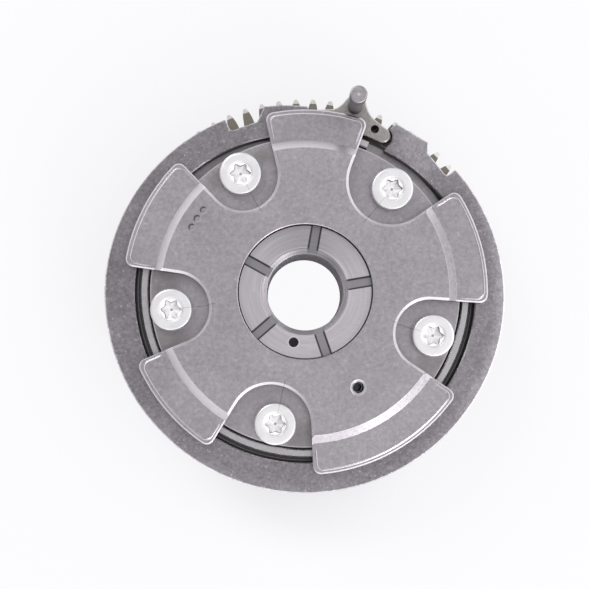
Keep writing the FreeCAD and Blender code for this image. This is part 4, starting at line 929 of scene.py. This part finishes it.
class PHASER_OT_bolts(bpy.types.Operator):
    """Five flat-headed six-lobe bolts in white zinc."""

    bl_idname = "phaser.bolts"
    bl_label = "Bolts"

    def execute(self, context):
        sizes = settings().phaser_bolts
        tone = settings().phaser_tones.bolt
        for number, angle in enumerate(BOLT_ANGLES, start=1):
            centre = polar(sizes.circle, angle)
            rows, ends = bolt_rows(centre, FLANGE_TOP, sizes)
            bolt = shell(f"zinc_bolt_{number}", rows[:, ::-1], *ends)
            shaded_by_angle(bolt, 40)
            bolt.data.materials.append(self.zinc(f"bolt_finish_{number}", tone,
                                                 sizes.circle, angle))
            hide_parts(f"cover_bolt_{number}")
            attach(bolt, "housing")
        return {"FINISHED"}

    @staticmethod
    def zinc(name, tone, circle, angle):
        """White zinc: nearly even, with faint clouds, a thin scribe line, painted shade on the
        walls of the recess and a dark dot in the recess."""
        finish = Finish(name)
        cloud = finish.grain(1.6, 3.0, 0.6)
        fine = finish.grain(0.15, 2.0, 0.6)
        dark_marks = finish.strip(angle, 34.3, 37.2, 0.0, 0.06)
        inside = finish.spot(circle, angle, 3.2, 3.3)
        share = 1 + (cloud - 0.5) * 0.16 + (fine - 0.5) * 0.05 - dark_marks * 0.4
        share = share * (1 - finish.spot(circle, angle, 0.25, 0.5) * 0.6)
        share = share * (0.95 + inside * 0.16)
        # Painted shade on the walls of the recess
        share = share * (1 - inside * (1 - finish.step(finish.up, 0.3, 0.7)) * 0.75)
        colour = finish.vector("SCALE", tone[:3], Scale=share)
        rough = 0.34 + (cloud - 0.5) * 0.15 + inside * 0.2
        return finish.surface(colour, rough, cloud * 2 + fine, 0.012, metallic=0.55)


class PHASER_OT_inner(bpy.types.Operator):
    """Hidden parts: lock pin, bush, cap, springs and seals."""

    bl_idname = "phaser.inner"
    bl_label = "Inner parts"

    def execute(self, context):
        tones = settings().phaser_tones
        dress(turned_steel("pin_finish", grey(tones.hub, 0.9)), "lock_pin", "lock_bush",
              "lock_spring_cap")
        numbers = range(1, 6)
        spring_finish = tumbled_steel("spring_finish", grey(tones.hub, 0.7), speckle=0.05,
                                      blotch=0.04, edge=1.2, rough=0.3)
        dress(spring_finish, *(f"seal_spring_{number}" for number in numbers))
        self.lock_spring(spring_finish)
        finish = Finish("seal_finish")
        cloud = finish.grain(0.8, 2.0, 0.6)
        colour = finish.vector("SCALE", tones.seal[:3], Scale=0.8 + cloud * 0.4)
        strip = finish.surface(colour, 0.5 + (cloud - 0.5) * 0.2, cloud, 0.01, metallic=0.0)
        dress(strip, *(f"vane_seal_{number}" for number in numbers))
        return {"FINISHED"}

    @staticmethod
    def lock_spring(finish):
        """The coil over the lock pin, built at rest; the real one is pressed together as the
        pin rises.
        """
        low, high = (np.array(corner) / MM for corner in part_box("lock_spring"))
        centre = (low + high) / 2
        wire, turns, stroke = 0.35, 6.0, 1.0
        mean = (high[0] - low[0] + high[1] - low[1]) / 4 - wire
        rows, ends = coil_rows(centre, low[2], high[2], mean, wire, turns)
        coil = shell("lock_coil", rows, *ends)
        coil.data.materials.append(finish)
        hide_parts("lock_spring")
        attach(coil, "rotor")
        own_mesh(coil)


class PHASER_PT_panel(bpy.types.Panel):
    """Lists the pieces of the phaser in the sidebar."""

    bl_idname = "PHASER_PT_panel"
    bl_label = "Phaser"
    bl_space_type = "VIEW_3D"
    bl_region_type = "UI"
    bl_category = "Phaser"

    def draw(self, context):
        for operator in OPERATORS:
            self.layout.operator(operator.bl_idname)


OPERATORS = (PHASER_OT_stage, PHASER_OT_cover, PHASER_OT_ring, PHASER_OT_gears,
             PHASER_OT_rotor, PHASER_OT_bolts, PHASER_OT_inner)
GROUPS = (("phaser_bolts", PhaserBoltSizes), ("phaser_cover", PhaserCoverSizes),
          ("phaser_tones", PhaserTones), ("phaser_studio", PhaserStudio))


def register():
    for name, group in GROUPS:
        bpy.utils.register_class(group)
        setattr(bpy.types.Scene, name, bpy.props.PointerProperty(type=group))
    for operator in OPERATORS:
        bpy.utils.register_class(operator)
    bpy.utils.register_class(PHASER_PT_panel)


def unregister():
    bpy.utils.unregister_class(PHASER_PT_panel)
    for operator in reversed(OPERATORS):
        bpy.utils.unregister_class(operator)
    for name, group in reversed(GROUPS):
        delattr(bpy.types.Scene, name)
        bpy.utils.unregister_class(group)


def main():
    register()
    bpy.ops.phaser.stage()
    bpy.ops.phaser.cover()
    bpy.ops.phaser.ring()
    bpy.ops.phaser.gears()
    bpy.ops.phaser.rotor()
    bpy.ops.phaser.bolts()
    bpy.ops.phaser.inner()


if __name__ == "__main__":
    main()
